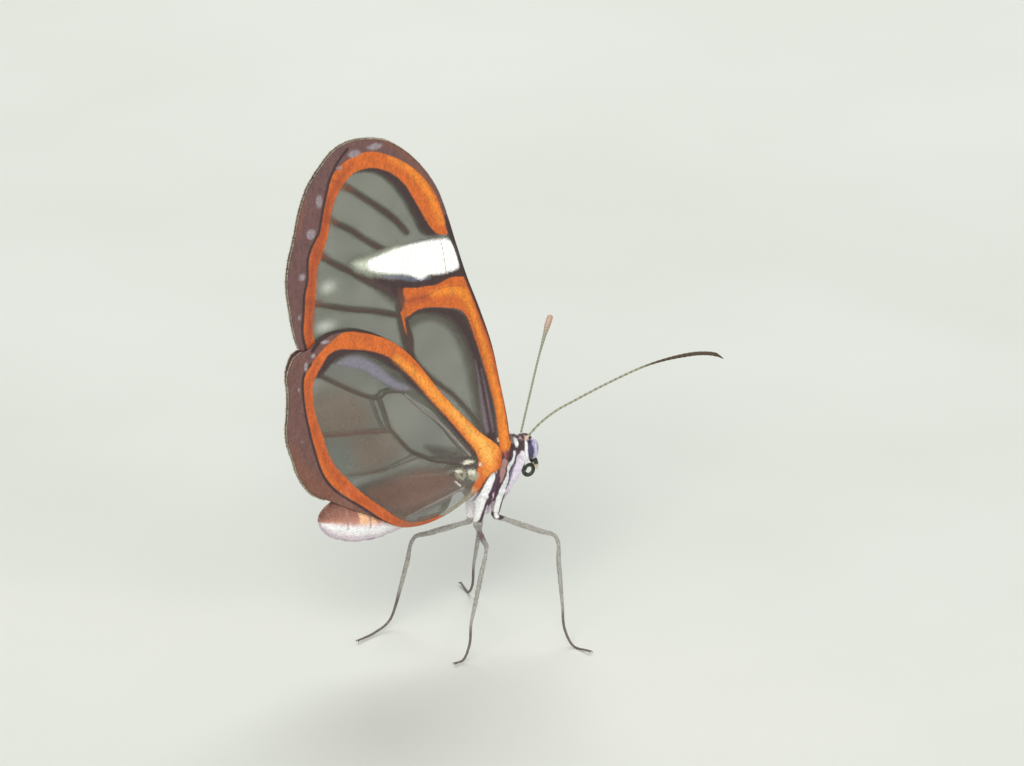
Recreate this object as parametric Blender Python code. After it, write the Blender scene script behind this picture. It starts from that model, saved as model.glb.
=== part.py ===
"""A clearwing butterfly, Heterosais nephele, standing with its wings closed over its back.

A still, life-size model. Named sizes and places are in millimetres, measured from the hinge
of the forewings: +X is forwards, +Y the animal's left and +Z up. The finished model stands on
the floor, with the bottom centre of its box at the origin.
"""

import math

import bmesh
import bpy
from mathutils import Matrix, Vector
from mathutils.geometry import delaunay_2d_cdt, intersect_point_line

MM = 0.001
GAP = 0.3

# Height of the forewing hinge over the floor
HINGE_HEIGHT = 14.0
FLOOR = -HINGE_HEIGHT

# Head, eyes and mouth
HEAD_CENTRE = Vector((1.65, 0.0, 0.0))
HEAD_HALF = Vector((0.95, 0.85, 1.0))
HEAD_BACK_X = 0.8
HEAD_SIDE_Y = 0.5
EYE_CENTRE = Vector((1.75, 0.0, 0.05))
EYE_RADIUS = 0.68
EYE_BULGE = 0.42
ANTENNA_ROOT = Vector((1.6, 0.42, 0.0))
PALP_ROOT = Vector((2.2, 0.32, 0.0))
PALP_TIP = Vector((2.75, 0.3, -0.3))
PALP_RADIUS = 0.25
COIL_RADIUS = 0.5
COIL_END_RADIUS = 0.14
COIL_TUBE = 0.23
COIL_TURNS = 0.95
COIL_DROP = 0.5
COIL_X = 1.55

# Thorax, with the collar in front and the six upper leg joints below
THORAX_CENTRE = Vector((-1.55, 0.0, -1.9))
THORAX_HALF = Vector((2.25, 1.65, 2.1))
THORAX_BACK_X = -3.45
COLLAR_CENTRE = Vector((-0.2, 0.0, -0.2))
COLLAR_HALF = Vector((0.9, 0.9, 0.95))
COLLAR_FRONT_X = HEAD_BACK_X - GAP
COXA_TOP_RADIUS = 0.85
COXA_END_RADIUS = 0.36
MID_COXA = (Vector((-0.75, 0.75, -2.6)), Vector((-0.55, 0.55, -5.1)))
HIND_COXA = (Vector((-2.05, 0.8, -2.7)), Vector((-2.7, 0.55, -5.5)))

# Abdomen: stations of place along X, height of the axis and half depth
ABDOMEN_FRONT_X = THORAX_BACK_X - GAP
ABDOMEN_STATIONS = (
    (ABDOMEN_FRONT_X, -1.75, 0.75),
    (-6.0, -2.2, 1.1),
    (-9.0, -2.65, 1.65),
    (-11.5, -2.85, 2.0),
    (-13.4, -2.85, 1.85),
    (-14.8, -2.75, 1.35),
    (-15.6, -2.7, 0.75),
    (-15.9, -2.7, 0.2),
)
ABDOMEN_WIDTH_RATIO = 0.75
ABDOMEN_RINGS = 7
RING_CREASE = 0.05

# Wings: thickness, ridges and the lines of outline and veins, as X and Z from the hinge
MEMBRANE = 0.45
VEIN_HALF_WIDTH = 0.35
VEIN_HEIGHT = 0.12
WING_GAP = 0.25
RIM_STEP = 0.95
VEIN_STEP = 1.0
FIELD_STEP = 1.6
MERGE_DISTANCE = 0.06

FOREWING_INNER = 0.1
FOREWING_SPREAD = 1.45
FOREWING_SPREAD_TOP = 7.0
FOREWING_SPREAD_POWER = 2.2
FOREWING_OUTLINE = (
    (-0.35, 1.2), (-0.4, 3.2), (-1.5, 8.1), (-3.1, 13.5), (-4.9, 18.2), (-6.9, 22.5),
    (-9.4, 25.7), (-12.0, 26.8), (-14.6, 26.2), (-16.7, 23.8), (-18.1, 19.6), (-18.7, 16.6),
    (-18.5, 13.2), (-17.6, 10.9), (-16.2, 10.0), (-12.2, 9.0), (-7.2, 5.1), (-3.0, 1.9),
    (-1.05, 0.7), (-1.1, -0.3), (-0.7, -0.9), (-0.1, -0.6),
)
FOREWING_VEINS = {
    "costa": ((-0.4, 0.4), (-0.4, 3.2), (-1.5, 8.1), (-3.1, 13.5), (-4.9, 18.2), (-6.9, 22.5), (-9.4, 25.7)),
    "radius": ((-0.7, 0.2), (-1.1, 3.6), (-2.3, 8.3), (-3.5, 12.6), (-4.7, 15.9), (-6.6, 19.9), (-10.9, 25.1)),
    "radial_branch": ((-3.9, 13.9), (-5.9, 16.6), (-8.0, 18.6), (-14.6, 24.2)),
    "upper_median": ((-5.2, 13.9), (-7.6, 15.8), (-10.7, 18.0), (-16.2, 21.6)),
    "mid_median": ((-7.0, 13.6), (-9.7, 15.1), (-12.6, 16.4), (-17.6, 19.0)),
    "lower_median": ((-9.0, 12.4), (-12.5, 13.2), (-18.0, 15.2)),
    "cross": ((-3.9, 13.9), (-5.2, 13.9), (-7.0, 13.6), (-8.7, 14.0), (-9.0, 12.4)),
    "cubitus": ((-0.7, 0.2), (-4.6, 5.3), (-8.2, 9.7), (-9.0, 12.4)),
    "lower_cubitus": ((-6.9, 8.1), (-11.5, 10.7), (-17.4, 12.4)),
    "anal": ((-1.3, 1.3), (-6.6, 5.8), (-11.5, 9.2)),
}

HINDWING_INNER = 0.15
HINDWING_BODY_FACE = 1.85
HINDWING_BODY_LINE = (Vector((-2.0, -1.8)), Vector((-12.0, -3.2)))
HINDWING_BODY_REACH = (1.6, 8.0)
HINDWING_COVER_LINE = (Vector((-17.6, 10.9)), Vector((-1.05, 0.7)))
HINDWING_COVER_REACH = 6.0
HINDWING_OUTLINE = (
    (-1.6, 0.1), (-1.7, 1.0), (-4.0, 3.8), (-5.9, 6.0), (-7.7, 8.2), (-9.2, 9.6),
    (-10.8, 10.8), (-14.1, 12.3), (-16.6, 12.1), (-18.4, 11.0), (-19.2, 8.6), (-18.8, 6.7),
    (-19.0, 4.4), (-18.4, 2.3), (-17.3, 0.0), (-15.6, -0.7), (-13.5, -1.4), (-11.7, -2.4),
    (-9.8, -3.5), (-7.6, -3.6), (-5.8, -3.3), (-4.3, -2.7), (-3.0, -2.2), (-2.0, -1.7),
    (-1.6, -0.9),
)
HINDWING_VEINS = {
    "costa": ((-1.7, 0.6), (-4.0, 3.8), (-7.8, 8.2), (-10.9, 10.9), (-14.0, 12.4)),
    "radius": ((-2.0, -0.6), (-3.9, 0.8), (-6.3, 3.4), (-8.9, 6.5), (-9.8, 6.9), (-16.2, 11.2)),
    "median": ((-9.8, 6.9), (-11.7, 6.5), (-18.4, 9.8)),
    "cross": ((-11.7, 6.5), (-10.4, 3.6), (-7.9, 1.5)),
    "cubitus": ((-2.2, -1.0), (-4.2, 0.0), (-7.9, 1.5)),
    "lower_median": ((-10.4, 3.6), (-18.2, 4.4)),
    "lower_cubitus": ((-7.9, 1.5), (-14.0, 0.8), (-17.0, 1.0)),
    "anal": ((-2.6, -1.5), (-6.4, -1.3), (-12.6, -1.4)),
}

# Legs: thickness, and the places of knee, ankle and toe of each standing leg
FEMUR_RADIUS = 0.32
SHIN_RADIUS = 0.26
TOE_RADIUS = 0.25
TOE_TIP_RADIUS = 0.17
SOLE_DEPTH = 0.6
TOE_LENGTH = 1.4
LEG_STEP = 0.7
STANDING_LEGS = {
    "leg_hind_right": (HIND_COXA, -1, (-4.0, -4.5, -6.3), (-5.9, -4.8, -12.6), (-7.1, -5.1)),
    "leg_hind_left": (HIND_COXA, 1, (-6.0, 3.1, -6.8), (-6.9, 4.2, -12.4), (-11.0, 2.5)),
    "leg_mid_right": (MID_COXA, -1, (2.1, -4.1, -5.9), (2.5, -5.2, -11.3), (2.9, -8.1)),
    "leg_mid_left": (MID_COXA, 1, (1.1, 4.1, -5.6), (1.3, 6.0, -11.3), (1.8, 9.0)),
}
FORELEG_RADIUS = 0.26
FORELEG_SIDE = 0.45
FORELEG_TOP = -1.45
FORELEG_BOTTOM = -4.1

# Feelers: from root to tip, and the upward bow of the shaft
ANTENNAE = {
    "antenna_left": (Vector((9.0, 11.2, 3.8)), 0.4),
    "antenna_right": (Vector((12.5, -7.3, 5.8)), 1.9),
}
ANTENNA_RADIUS = 0.25
ANTENNA_CLUB_RADIUS = 0.31
ANTENNA_TIP_RADIUS = 0.12
ANTENNA_POINTS = 22

# Colours and roughness
FINISHES = {
    "wing": ((0.55, 0.28, 0.12), 0.5),
    "thorax": ((0.6, 0.55, 0.56), 0.8),
    "abdomen": ((0.45, 0.27, 0.2), 0.7),
    "head": ((0.4, 0.36, 0.4), 0.8),
    "eye": ((0.06, 0.06, 0.1), 0.2),
    "leg": ((0.3, 0.28, 0.27), 0.7),
    "antenna": ((0.12, 0.08, 0.06), 0.6),
    "mouth": ((0.1, 0.08, 0.05), 0.5),
}

ROUND_SEGMENTS = 28
ROUND_RINGS = 18


def clear_scene():
    """Remove every object of the opened file."""
    for item in list(bpy.data.objects):
        bpy.data.objects.remove(item)


def finish_material(name):
    """Make the material of a named finish, once."""
    if name in bpy.data.materials:
        return bpy.data.materials[name]
    colour, roughness = FINISHES[name]
    material = bpy.data.materials.new(name)
    material.use_nodes = True
    shader = material.node_tree.nodes["Principled BSDF"]
    shader.inputs["Base Color"].default_value = (*colour, 1.0)
    shader.inputs["Roughness"].default_value = roughness
    shader.inputs["Metallic"].default_value = 0.0
    return material


def add_node(name, shape, finish, parts, smooth_angle=40):
    """Turn a bmesh in millimetres into a named object of the model."""
    shape.transform(Matrix.Scale(MM, 4))
    mesh = bpy.data.meshes.new(name)
    shape.to_mesh(mesh)
    shape.free()
    mesh.shade_smooth()
    mesh.set_sharp_from_angle(angle=math.radians(smooth_angle))
    item = bpy.data.objects.new(name, mesh)
    item.data.materials.append(finish_material(finish))
    parts.objects.link(item)
    return item


def smooth_line(points, step, closed=False):
    """Evenly spaced points along a smooth curve through the given points, of any dimension."""
    points = [Vector(point) for point in points]
    count = len(points)
    spans = count if closed else count - 1

    def slope(index):
        if not closed and index in (0, count - 1):
            near = 1 if index == 0 else count - 2
            return (points[near] - points[index]).normalized() * (1 if index == 0 else -1)
        before, here, after = (points[(index + k) % count] for k in (-1, 0, 1))
        back, ahead = (here - before).length, (after - here).length
        return ((here - before) * (ahead / back) + (after - here) * (back / ahead)) / (back + ahead)

    dense = []
    for index in range(spans):
        start, end = points[index], points[(index + 1) % count]
        chord = (end - start).length
        leave, arrive = slope(index) * chord, slope((index + 1) % count) * chord
        for k in range(16):
            t = k / 16
            dense.append(
                start * (2 * t**3 - 3 * t**2 + 1) + leave * (t**3 - 2 * t**2 + t)
                + end * (3 * t**2 - 2 * t**3) + arrive * (t**3 - t**2)
            )
    dense.append(points[0] if closed else points[-1])

    lengths = [0.0]
    for start, end in zip(dense, dense[1:]):
        lengths.append(lengths[-1] + (end - start).length)
    total = max(2, round(lengths[-1] / step))
    line, cursor = [], 0
    for k in range(total if closed else total + 1):
        target = lengths[-1] * k / total
        while cursor < len(dense) - 2 and lengths[cursor + 1] < target:
            cursor += 1
        span = lengths[cursor + 1] - lengths[cursor]
        line.append(dense[cursor].lerp(dense[cursor + 1], (target - lengths[cursor]) / span))
    return line


def line_distance(point, line, closed=False):
    """Distance from a point to a line of points, in the plane of a wing."""
    ends = line[1:] + line[:1] if closed else line[1:]
    best = math.inf
    for start, end in zip(line, ends):
        foot, along = intersect_point_line(point, start, end)
        near = start if along <= 0 else end if along >= 1 else foot
        best = min(best, (Vector(near).to_2d() - point).length)
    return best


def is_inside(point, outline):
    """Whether a point lies inside a closed outline."""
    inside = False
    for start, end in zip(outline, outline[1:] + outline[:1]):
        if (start.y > point.y) != (end.y > point.y):
            crossing = start.x + (point.y - start.y) * (end.x - start.x) / (end.y - start.y)
            inside ^= point.x < crossing
    return inside


def smoothstep(value):
    """A soft rise from 0 to 1."""
    t = min(1.0, max(0.0, value))
    return t * t * (3 - 2 * t)


def forewing_inner_face(x, z):
    """Distance of a forewing's inner face from the mid-plane: closed above, wide at the thorax."""
    rise = max(0.0, FOREWING_SPREAD_TOP - z) / (FOREWING_SPREAD_TOP + 0.9)
    return FOREWING_INNER + FOREWING_SPREAD * rise**FOREWING_SPREAD_POWER


def hindwing_inner_face(x, z):
    """Distance of a hindwing's inner face from the mid-plane.

    It passes outside the forewing where it covers that, and outside the body, and closes
    up to the other hindwing towards its free margin.
    """
    place = Vector((x, z))
    near, far = HINDWING_BODY_REACH
    body = smoothstep((far - line_distance(place, list(HINDWING_BODY_LINE))) / (far - near))
    tornus, hinge = HINDWING_COVER_LINE
    chord = (hinge - tornus).normalized()
    below = (place - tornus).dot(Vector((chord.y, -chord.x)))
    cover = smoothstep(1 - below / HINDWING_COVER_REACH)
    forewing = forewing_inner_face(x, z) + MEMBRANE + VEIN_HEIGHT + WING_GAP
    over_body = (HINDWING_BODY_FACE - HINDWING_INNER) * body
    over_forewing = (forewing - HINDWING_INNER) * cover
    return HINDWING_INNER + max(over_body, over_forewing)


def vein_strips(rim, veins):
    """Points and edges of each vein's crest and of the two lines along its foot."""
    coords, edges = [], []
    for name, crest in veins.items():
        others = [line for other, line in veins.items() if other != name]
        for side in (-1, 0, 1):
            last = None
            for index, point in enumerate(crest):
                ahead = crest[min(index + 1, len(crest) - 1)] - crest[max(index - 1, 0)]
                across = Vector((-ahead.y, ahead.x)).normalized()
                place = point + across * side * VEIN_HALF_WIDTH
                keep = is_inside(place, rim) and line_distance(place, rim, True) > 0.4 * VEIN_HALF_WIDTH
                if side and keep:
                    keep = all(line_distance(place, line) > 0.6 * VEIN_HALF_WIDTH for line in others)
                if not keep:
                    last = None
                    continue
                coords.append(place)
                if last is not None:
                    edges.append((last, len(coords) - 1))
                last = len(coords) - 1
    return coords, edges


def wing_plan(outline, veins):
    """Flat triangles of one wing, split along its veins."""
    rim = smooth_line(outline, RIM_STEP, closed=True)
    coords = list(rim)
    edges = [(k, (k + 1) % len(rim)) for k in range(len(rim))]
    strip_coords, strip_edges = vein_strips(rim, veins)
    offset = len(coords)
    coords += strip_coords
    edges += [(start + offset, end + offset) for start, end in strip_edges]
    low = Vector((min(p.x for p in rim), min(p.y for p in rim)))
    high = Vector((max(p.x for p in rim), max(p.y for p in rim)))
    rows = int((high.y - low.y) / FIELD_STEP) + 1
    columns = int((high.x - low.x) / FIELD_STEP) + 1
    for row in range(rows):
        for column in range(columns):
            place = low + Vector((column + 0.5 * (row % 2), row)) * FIELD_STEP
            clear = is_inside(place, rim) and line_distance(place, rim, True) > 0.5 * FIELD_STEP
            if clear and all(line_distance(place, line) > 0.55 * FIELD_STEP for line in veins.values()):
                coords.append(place)
    points, _, faces, *_ = delaunay_2d_cdt(coords, edges, [], 1, MERGE_DISTANCE)
    return points, faces


def wing(name, side, outline, vein_points, inner_face, parts):
    """One wing: a thin bowed sheet alike on both faces, with its veins raised on the outer one."""
    veins = {key: smooth_line(points, VEIN_STEP) for key, points in vein_points.items()}
    points, faces = wing_plan(outline, veins)
    shape = bmesh.new()
    verts = [shape.verts.new((p.x, side * inner_face(p.x, p.y), p.y)) for p in points]
    for face in faces:
        shape.faces.new([verts[k] for k in face])
    loose = [vert for vert in shape.verts if not vert.link_faces]
    bmesh.ops.delete(shape, geom=loose, context="VERTS")
    outer = bmesh.ops.extrude_face_region(shape, geom=shape.faces[:])["geom"]
    for vert in (item for item in outer if isinstance(item, bmesh.types.BMVert)):
        place = Vector((vert.co.x, vert.co.z))
        nearest = min(line_distance(place, line) for line in veins.values())
        ridge = VEIN_HEIGHT * max(0.0, 1 - nearest / VEIN_HALF_WIDTH)
        vert.co.y += side * (MEMBRANE + ridge)
    bmesh.ops.recalc_face_normals(shape, faces=shape.faces[:])
    return add_node(name, shape, "wing", parts)


def ellipsoid(centre, half, segments=ROUND_SEGMENTS, rings=ROUND_RINGS):
    """A closed ellipsoid with its poles along X."""
    shape = bmesh.new()
    stretch = Matrix.Diagonal((*half, 1.0))
    turn = Matrix.Rotation(math.radians(90), 4, "Y")
    place = Matrix.Translation(centre) @ stretch @ turn
    bmesh.ops.create_uvsphere(shape, u_segments=segments, v_segments=rings, radius=1.0, matrix=place)
    return shape


def cone_between(start, end, start_radius, end_radius, segments=14):
    """A closed cone frustum from one point to another."""
    shape = bmesh.new()
    axis = end - start
    turn = axis.to_track_quat("Z", "Y").to_matrix().to_4x4()
    place = Matrix.Translation((start + end) / 2) @ turn
    bmesh.ops.create_cone(
        shape, cap_ends=True, segments=segments, radius1=start_radius, radius2=end_radius,
        depth=axis.length, matrix=place,
    )
    return shape


def slice_off(shape, place, outward):
    """Cut away what lies beyond a plane and close the cut with a flat face."""
    geometry = shape.verts[:] + shape.edges[:] + shape.faces[:]
    bmesh.ops.bisect_plane(
        shape, geom=geometry, dist=1e-5, plane_co=place, plane_no=outward, clear_outer=True,
    )
    rim = [edge for edge in shape.edges if edge.is_boundary]
    bmesh.ops.holes_fill(shape, edges=rim, sides=0)
    bmesh.ops.recalc_face_normals(shape, faces=shape.faces[:])


def keep_largest(shape):
    """Keep the largest of a bmesh's separate surfaces."""
    left, groups = set(shape.faces), []
    while left:
        group, front = set(), [left.pop()]
        while front:
            face = front.pop()
            group.add(face)
            for edge in face.edges:
                for near in edge.link_faces:
                    if near in left:
                        left.remove(near)
                        front.append(near)
        groups.append(group)
    groups.sort(key=lambda group: sum(face.calc_area() for face in group))
    for group in groups[:-1]:
        bmesh.ops.delete(shape, geom=list(group), context="FACES")


def fuse(pieces):
    """Join closed bmeshes into one body by a single Boolean union."""
    scene = bpy.context.scene.collection
    others = bpy.data.collections.new("union_pieces")
    scene.children.link(others)
    made = []
    for index, piece in enumerate(pieces):
        mesh = bpy.data.meshes.new(f"piece_{index}")
        piece.to_mesh(mesh)
        piece.free()
        item = bpy.data.objects.new(mesh.name, mesh)
        (scene if index == 0 else others).objects.link(item)
        made.append(item)
    union = made[0].modifiers.new("union", "BOOLEAN")
    union.operation = "UNION"
    union.operand_type = "COLLECTION"
    union.collection = others
    union.solver = "EXACT"
    joined = bpy.data.meshes.new_from_object(made[0].evaluated_get(bpy.context.evaluated_depsgraph_get()))
    shape = bmesh.new()
    shape.from_mesh(joined)
    for item in made:
        bpy.data.objects.remove(item)
    bpy.data.collections.remove(others)
    bpy.data.meshes.remove(joined)
    bmesh.ops.remove_doubles(shape, verts=shape.verts[:], dist=1e-4)
    keep_largest(shape)
    return shape


def tube(points):
    """A closed tapering tube of round section through points with X, Y, Z and radius."""
    curve = bpy.data.curves.new("tube", "CURVE")
    curve.dimensions = "3D"
    curve.bevel_depth = 1.0
    curve.bevel_resolution = 2
    curve.use_fill_caps = True
    spline = curve.splines.new("POLY")
    spline.points.add(len(points) - 1)
    for target, point in zip(spline.points, points):
        target.co = (point[0], point[1], point[2], 1.0)
        target.radius = point[3]
    item = bpy.data.objects.new("tube", curve)
    bpy.context.scene.collection.objects.link(item)
    mesh = bpy.data.meshes.new_from_object(item.evaluated_get(bpy.context.evaluated_depsgraph_get()))
    shape = bmesh.new()
    shape.from_mesh(mesh)
    bpy.data.objects.remove(item)
    bpy.data.curves.remove(curve)
    bpy.data.meshes.remove(mesh)
    bmesh.ops.remove_doubles(shape, verts=shape.verts[:], dist=1e-4)
    bmesh.ops.recalc_face_normals(shape, faces=shape.faces[:])
    return shape


def mirrored(place, side):
    """The same place on the animal's left or right."""
    return Vector((place[0], place[1] * side, place[2]))


def make_head(parts):
    """The head, flat where the eyes and the collar meet it."""
    shape = ellipsoid(HEAD_CENTRE, HEAD_HALF)
    slice_off(shape, (HEAD_BACK_X, 0, 0), (-1, 0, 0))
    for side in (-1, 1):
        slice_off(shape, (0, side * HEAD_SIDE_Y, 0), (0, side, 0))
    add_node("head", shape, "head", parts)


def make_eyes(parts):
    """Two domes, each set off a flat side of the head."""
    for name, side in (("eye_left", 1), ("eye_right", -1)):
        base = side * (HEAD_SIDE_Y + GAP)
        half = Vector((EYE_RADIUS, EYE_BULGE, EYE_RADIUS))
        shape = ellipsoid(EYE_CENTRE + Vector((0, base, 0)), half, 20, 12)
        slice_off(shape, (0, base, 0), (0, -side, 0))
        add_node(name, shape, "eye", parts)


def head_surface(x, y, sign):
    """Height of the head's upper or lower surface."""
    across = ((x - HEAD_CENTRE.x) / HEAD_HALF.x) ** 2 + (y / HEAD_HALF.y) ** 2
    return HEAD_CENTRE.z + sign * HEAD_HALF.z * math.sqrt(1 - across)


def make_antennae(parts):
    """Long feelers that bow upwards and thicken into a slender club."""
    for name, (reach, bow) in ANTENNAE.items():
        side = 1 if reach.y > 0 else -1
        root = mirrored(ANTENNA_ROOT, side)
        root.z = head_surface(root.x, root.y, 1) + GAP
        points = []
        for k in range(ANTENNA_POINTS):
            t = k / (ANTENNA_POINTS - 1)
            place = root + reach * t
            place.z += bow * math.sin(math.pi * t**1.3)
            club = smoothstep((t - 0.6) / 0.2) * (ANTENNA_CLUB_RADIUS - ANTENNA_RADIUS)
            tip = smoothstep((t - 0.9) / 0.1) * (ANTENNA_CLUB_RADIUS - ANTENNA_TIP_RADIUS)
            points.append((*place, ANTENNA_RADIUS + club - tip))
        add_node(name, tube(points), "antenna", parts)


def make_palps(parts):
    """Short feelers that curve up in front of the face."""
    for name, side in (("palp_left", 1), ("palp_right", -1)):
        root, tip = mirrored(PALP_ROOT, side), mirrored(PALP_TIP, side)
        root.z = head_surface(root.x, root.y, -1) - GAP
        middle = Vector((tip.x, root.y, root.z + 0.35 * (tip.z - root.z)))
        ends = ((*root, 0.8 * PALP_RADIUS), (*middle, PALP_RADIUS), (*tip, 0.4 * PALP_RADIUS))
        add_node(name, tube(smooth_line(ends, 0.3)), "head", parts)


def make_proboscis(parts):
    """The drinking tube, coiled under the head."""
    top = head_surface(COIL_X, 0, -1) - GAP
    centre = Vector((COIL_X + COIL_RADIUS, 0, top - COIL_DROP))
    points = [(COIL_X, 0, top, 0.85 * COIL_TUBE)]
    steps = 20
    for k in range(steps + 1):
        t = k / steps
        radius = COIL_RADIUS + (COIL_END_RADIUS - COIL_RADIUS) * t
        turn = 2 * math.pi * COIL_TURNS * t
        place = centre - Vector((math.cos(turn), 0, math.sin(turn))) * radius
        points.append((*place, COIL_TUBE * (1 - 0.55 * t)))
    add_node("proboscis", tube(points), "mouth", parts)


def make_thorax(parts):
    """Chest, collar and the upper joints of the four standing legs, in one body."""
    pieces = [ellipsoid(THORAX_CENTRE, THORAX_HALF), ellipsoid(COLLAR_CENTRE, COLLAR_HALF, 22, 14)]
    for top, end in (MID_COXA, HIND_COXA):
        for side in (-1, 1):
            ends = (mirrored(top, side), mirrored(end, side))
            pieces.append(cone_between(*ends, COXA_TOP_RADIUS, COXA_END_RADIUS))
    shape = fuse(pieces)
    slice_off(shape, (THORAX_BACK_X, 0, 0), (-1, 0, 0))
    slice_off(shape, (COLLAR_FRONT_X, 0, 0), (1, 0, 0))
    add_node("thorax", shape, "thorax", parts)


def make_abdomen(parts):
    """A full, ringed abdomen: round rings drawn out along the stations of its axis."""
    line = smooth_line(ABDOMEN_STATIONS, 0.45)
    segments = 24
    shape = bmesh.new()
    loops = []
    for x, z, half_depth in line:
        along = (ABDOMEN_FRONT_X - x) / (ABDOMEN_FRONT_X - ABDOMEN_STATIONS[-1][0])
        crease = 1 - RING_CREASE * math.cos(math.pi * ABDOMEN_RINGS * along) ** 12
        depth = half_depth * crease
        place = Matrix.Translation((x, 0, z)) @ Matrix.Diagonal((1, ABDOMEN_WIDTH_RATIO * depth, depth, 1))
        ring = bmesh.ops.create_circle(
            shape, cap_ends=False, radius=1.0, segments=segments,
            matrix=place @ Matrix.Rotation(math.radians(90), 4, "Y"),
        )
        loops.append(ring["verts"])
    for first, second in zip(loops, loops[1:]):
        for k in range(segments):
            near = (k + 1) % segments
            shape.faces.new((first[k], first[near], second[near], second[k]))
    shape.faces.new(loops[0])
    shape.faces.new(loops[-1])
    bmesh.ops.recalc_face_normals(shape, faces=shape.faces[:])
    add_node("abdomen", shape, "abdomen", parts)


def make_wings(parts):
    """Two forewings, closed together, between two hindwings."""
    for label, side in (("left", 1), ("right", -1)):
        wing(f"forewing_{label}", side, FOREWING_OUTLINE, FOREWING_VEINS, forewing_inner_face, parts)
        wing(f"hindwing_{label}", side, HINDWING_OUTLINE, HINDWING_VEINS, hindwing_inner_face, parts)


def make_standing_legs(parts):
    """Four legs, each from its upper joint out to the knee and down to a toe flat on the floor."""
    for name, (coxa, side, knee, ankle, toe) in STANDING_LEGS.items():
        top, end = (mirrored(place, side) for place in coxa)
        axis = (end - top).normalized()
        start = end + axis * GAP
        turn = end + axis * (GAP + FEMUR_RADIUS)
        knee, ankle = Vector(knee), Vector(ankle)
        toe = Vector((*toe, FLOOR + SOLE_DEPTH * TOE_TIP_RADIUS))
        back = Vector((ankle.x - toe.x, ankle.y - toe.y, 0)).normalized()
        heel = toe + back * TOE_LENGTH
        heel.z = FLOOR + SOLE_DEPTH * TOE_RADIUS
        stations = [
            (*start, 0.8 * FEMUR_RADIUS),
            (*turn, 0.9 * FEMUR_RADIUS),
            (*turn.lerp(knee, 0.5), FEMUR_RADIUS),
            (*knee.lerp(turn, 0.12), 0.95 * FEMUR_RADIUS),
            (*knee.lerp(ankle, 0.06), 0.9 * FEMUR_RADIUS),
            (*knee.lerp(ankle, 0.5), SHIN_RADIUS),
            (*ankle, SHIN_RADIUS),
            (*heel, TOE_RADIUS),
            (*toe, TOE_TIP_RADIUS),
        ]
        shape = tube(smooth_line(stations, LEG_STEP))
        slice_off(shape, (0, 0, FLOOR), (0, 0, -1))
        add_node(name, shape, "leg", parts)


def make_forelegs(parts):
    """The small brush-like forelegs, folded against the breast."""
    for name, side in (("foreleg_left", 1), ("foreleg_right", -1)):
        points = []
        steps = 6
        for k in range(steps + 1):
            t = k / steps
            z = FORELEG_TOP + (FORELEG_BOTTOM - FORELEG_TOP) * t
            across = (FORELEG_SIDE / THORAX_HALF.y) ** 2 + ((z - THORAX_CENTRE.z) / THORAX_HALF.z) ** 2
            breast = THORAX_CENTRE.x + THORAX_HALF.x * math.sqrt(max(0.5, 1 - across))
            radius = FORELEG_RADIUS * (1 - 0.4 * t * t)
            points.append((breast + GAP + radius, side * FORELEG_SIDE, z, radius))
        add_node(name, tube(points), "leg", parts)


def stand_on_floor(parts):
    """Carry every piece on one empty, placed so that the origin is at the box's bottom centre."""
    corners = [vert.co for item in parts.objects for vert in item.data.vertices]
    low = Vector(min(corner[k] for corner in corners) for k in range(3))
    high = Vector(max(corner[k] for corner in corners) for k in range(3))
    carrier = bpy.data.objects.new("butterfly", None)
    bpy.context.scene.collection.objects.link(carrier)
    carrier.location = (-(low.x + high.x) / 2, -(low.y + high.y) / 2, -low.z)
    for item in parts.objects:
        item.parent = carrier


def main():
    """Model the butterfly."""
    clear_scene()
    parts = bpy.data.collections.new("heterosais_nephele")
    bpy.context.scene.collection.children.link(parts)
    make_head(parts)
    make_eyes(parts)
    make_antennae(parts)
    make_palps(parts)
    make_proboscis(parts)
    make_thorax(parts)
    make_abdomen(parts)
    make_wings(parts)
    make_standing_legs(parts)
    make_forelegs(parts)
    stand_on_floor(parts)


main()
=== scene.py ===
"""Looks of a life-size clearwing butterfly, Heterosais nephele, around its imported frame.

Lengths are in millimetres from the hinge of the forewings, +X forwards, +Y the animal's left
and +Z up, until a finished piece is moved into the frame, which is in metres.
"""

import logging
import math
from collections.abc import Callable, Iterator
from contextlib import contextmanager
from dataclasses import dataclass
from enum import Enum

import bpy
import numpy as np
from mathutils import Matrix, Vector

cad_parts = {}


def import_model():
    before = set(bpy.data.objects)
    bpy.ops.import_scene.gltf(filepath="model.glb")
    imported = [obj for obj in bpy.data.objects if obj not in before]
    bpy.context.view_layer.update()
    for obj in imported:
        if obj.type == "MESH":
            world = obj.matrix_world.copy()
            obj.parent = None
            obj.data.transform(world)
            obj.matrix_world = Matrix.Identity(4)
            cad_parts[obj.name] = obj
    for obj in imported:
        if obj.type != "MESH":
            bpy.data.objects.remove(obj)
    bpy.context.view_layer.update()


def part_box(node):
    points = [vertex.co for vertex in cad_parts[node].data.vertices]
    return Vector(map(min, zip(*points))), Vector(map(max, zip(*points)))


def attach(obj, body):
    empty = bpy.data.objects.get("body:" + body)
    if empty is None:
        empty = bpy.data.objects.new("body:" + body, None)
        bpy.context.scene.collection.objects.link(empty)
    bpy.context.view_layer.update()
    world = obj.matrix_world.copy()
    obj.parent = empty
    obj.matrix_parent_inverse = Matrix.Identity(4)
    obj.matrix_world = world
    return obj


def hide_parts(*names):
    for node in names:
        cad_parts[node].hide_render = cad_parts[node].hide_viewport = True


logging.basicConfig(level=logging.INFO, format="%(message)s")
log = logging.getLogger("butterfly")

MM = 0.001
BODY = "root"
HEAD_FRONT = 2.6
FLOOR = -14.0
TOE_HEIGHT = 0.23
SEED = 7
COAT_SEED = 17
FRINGE_SEED = 57

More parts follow.
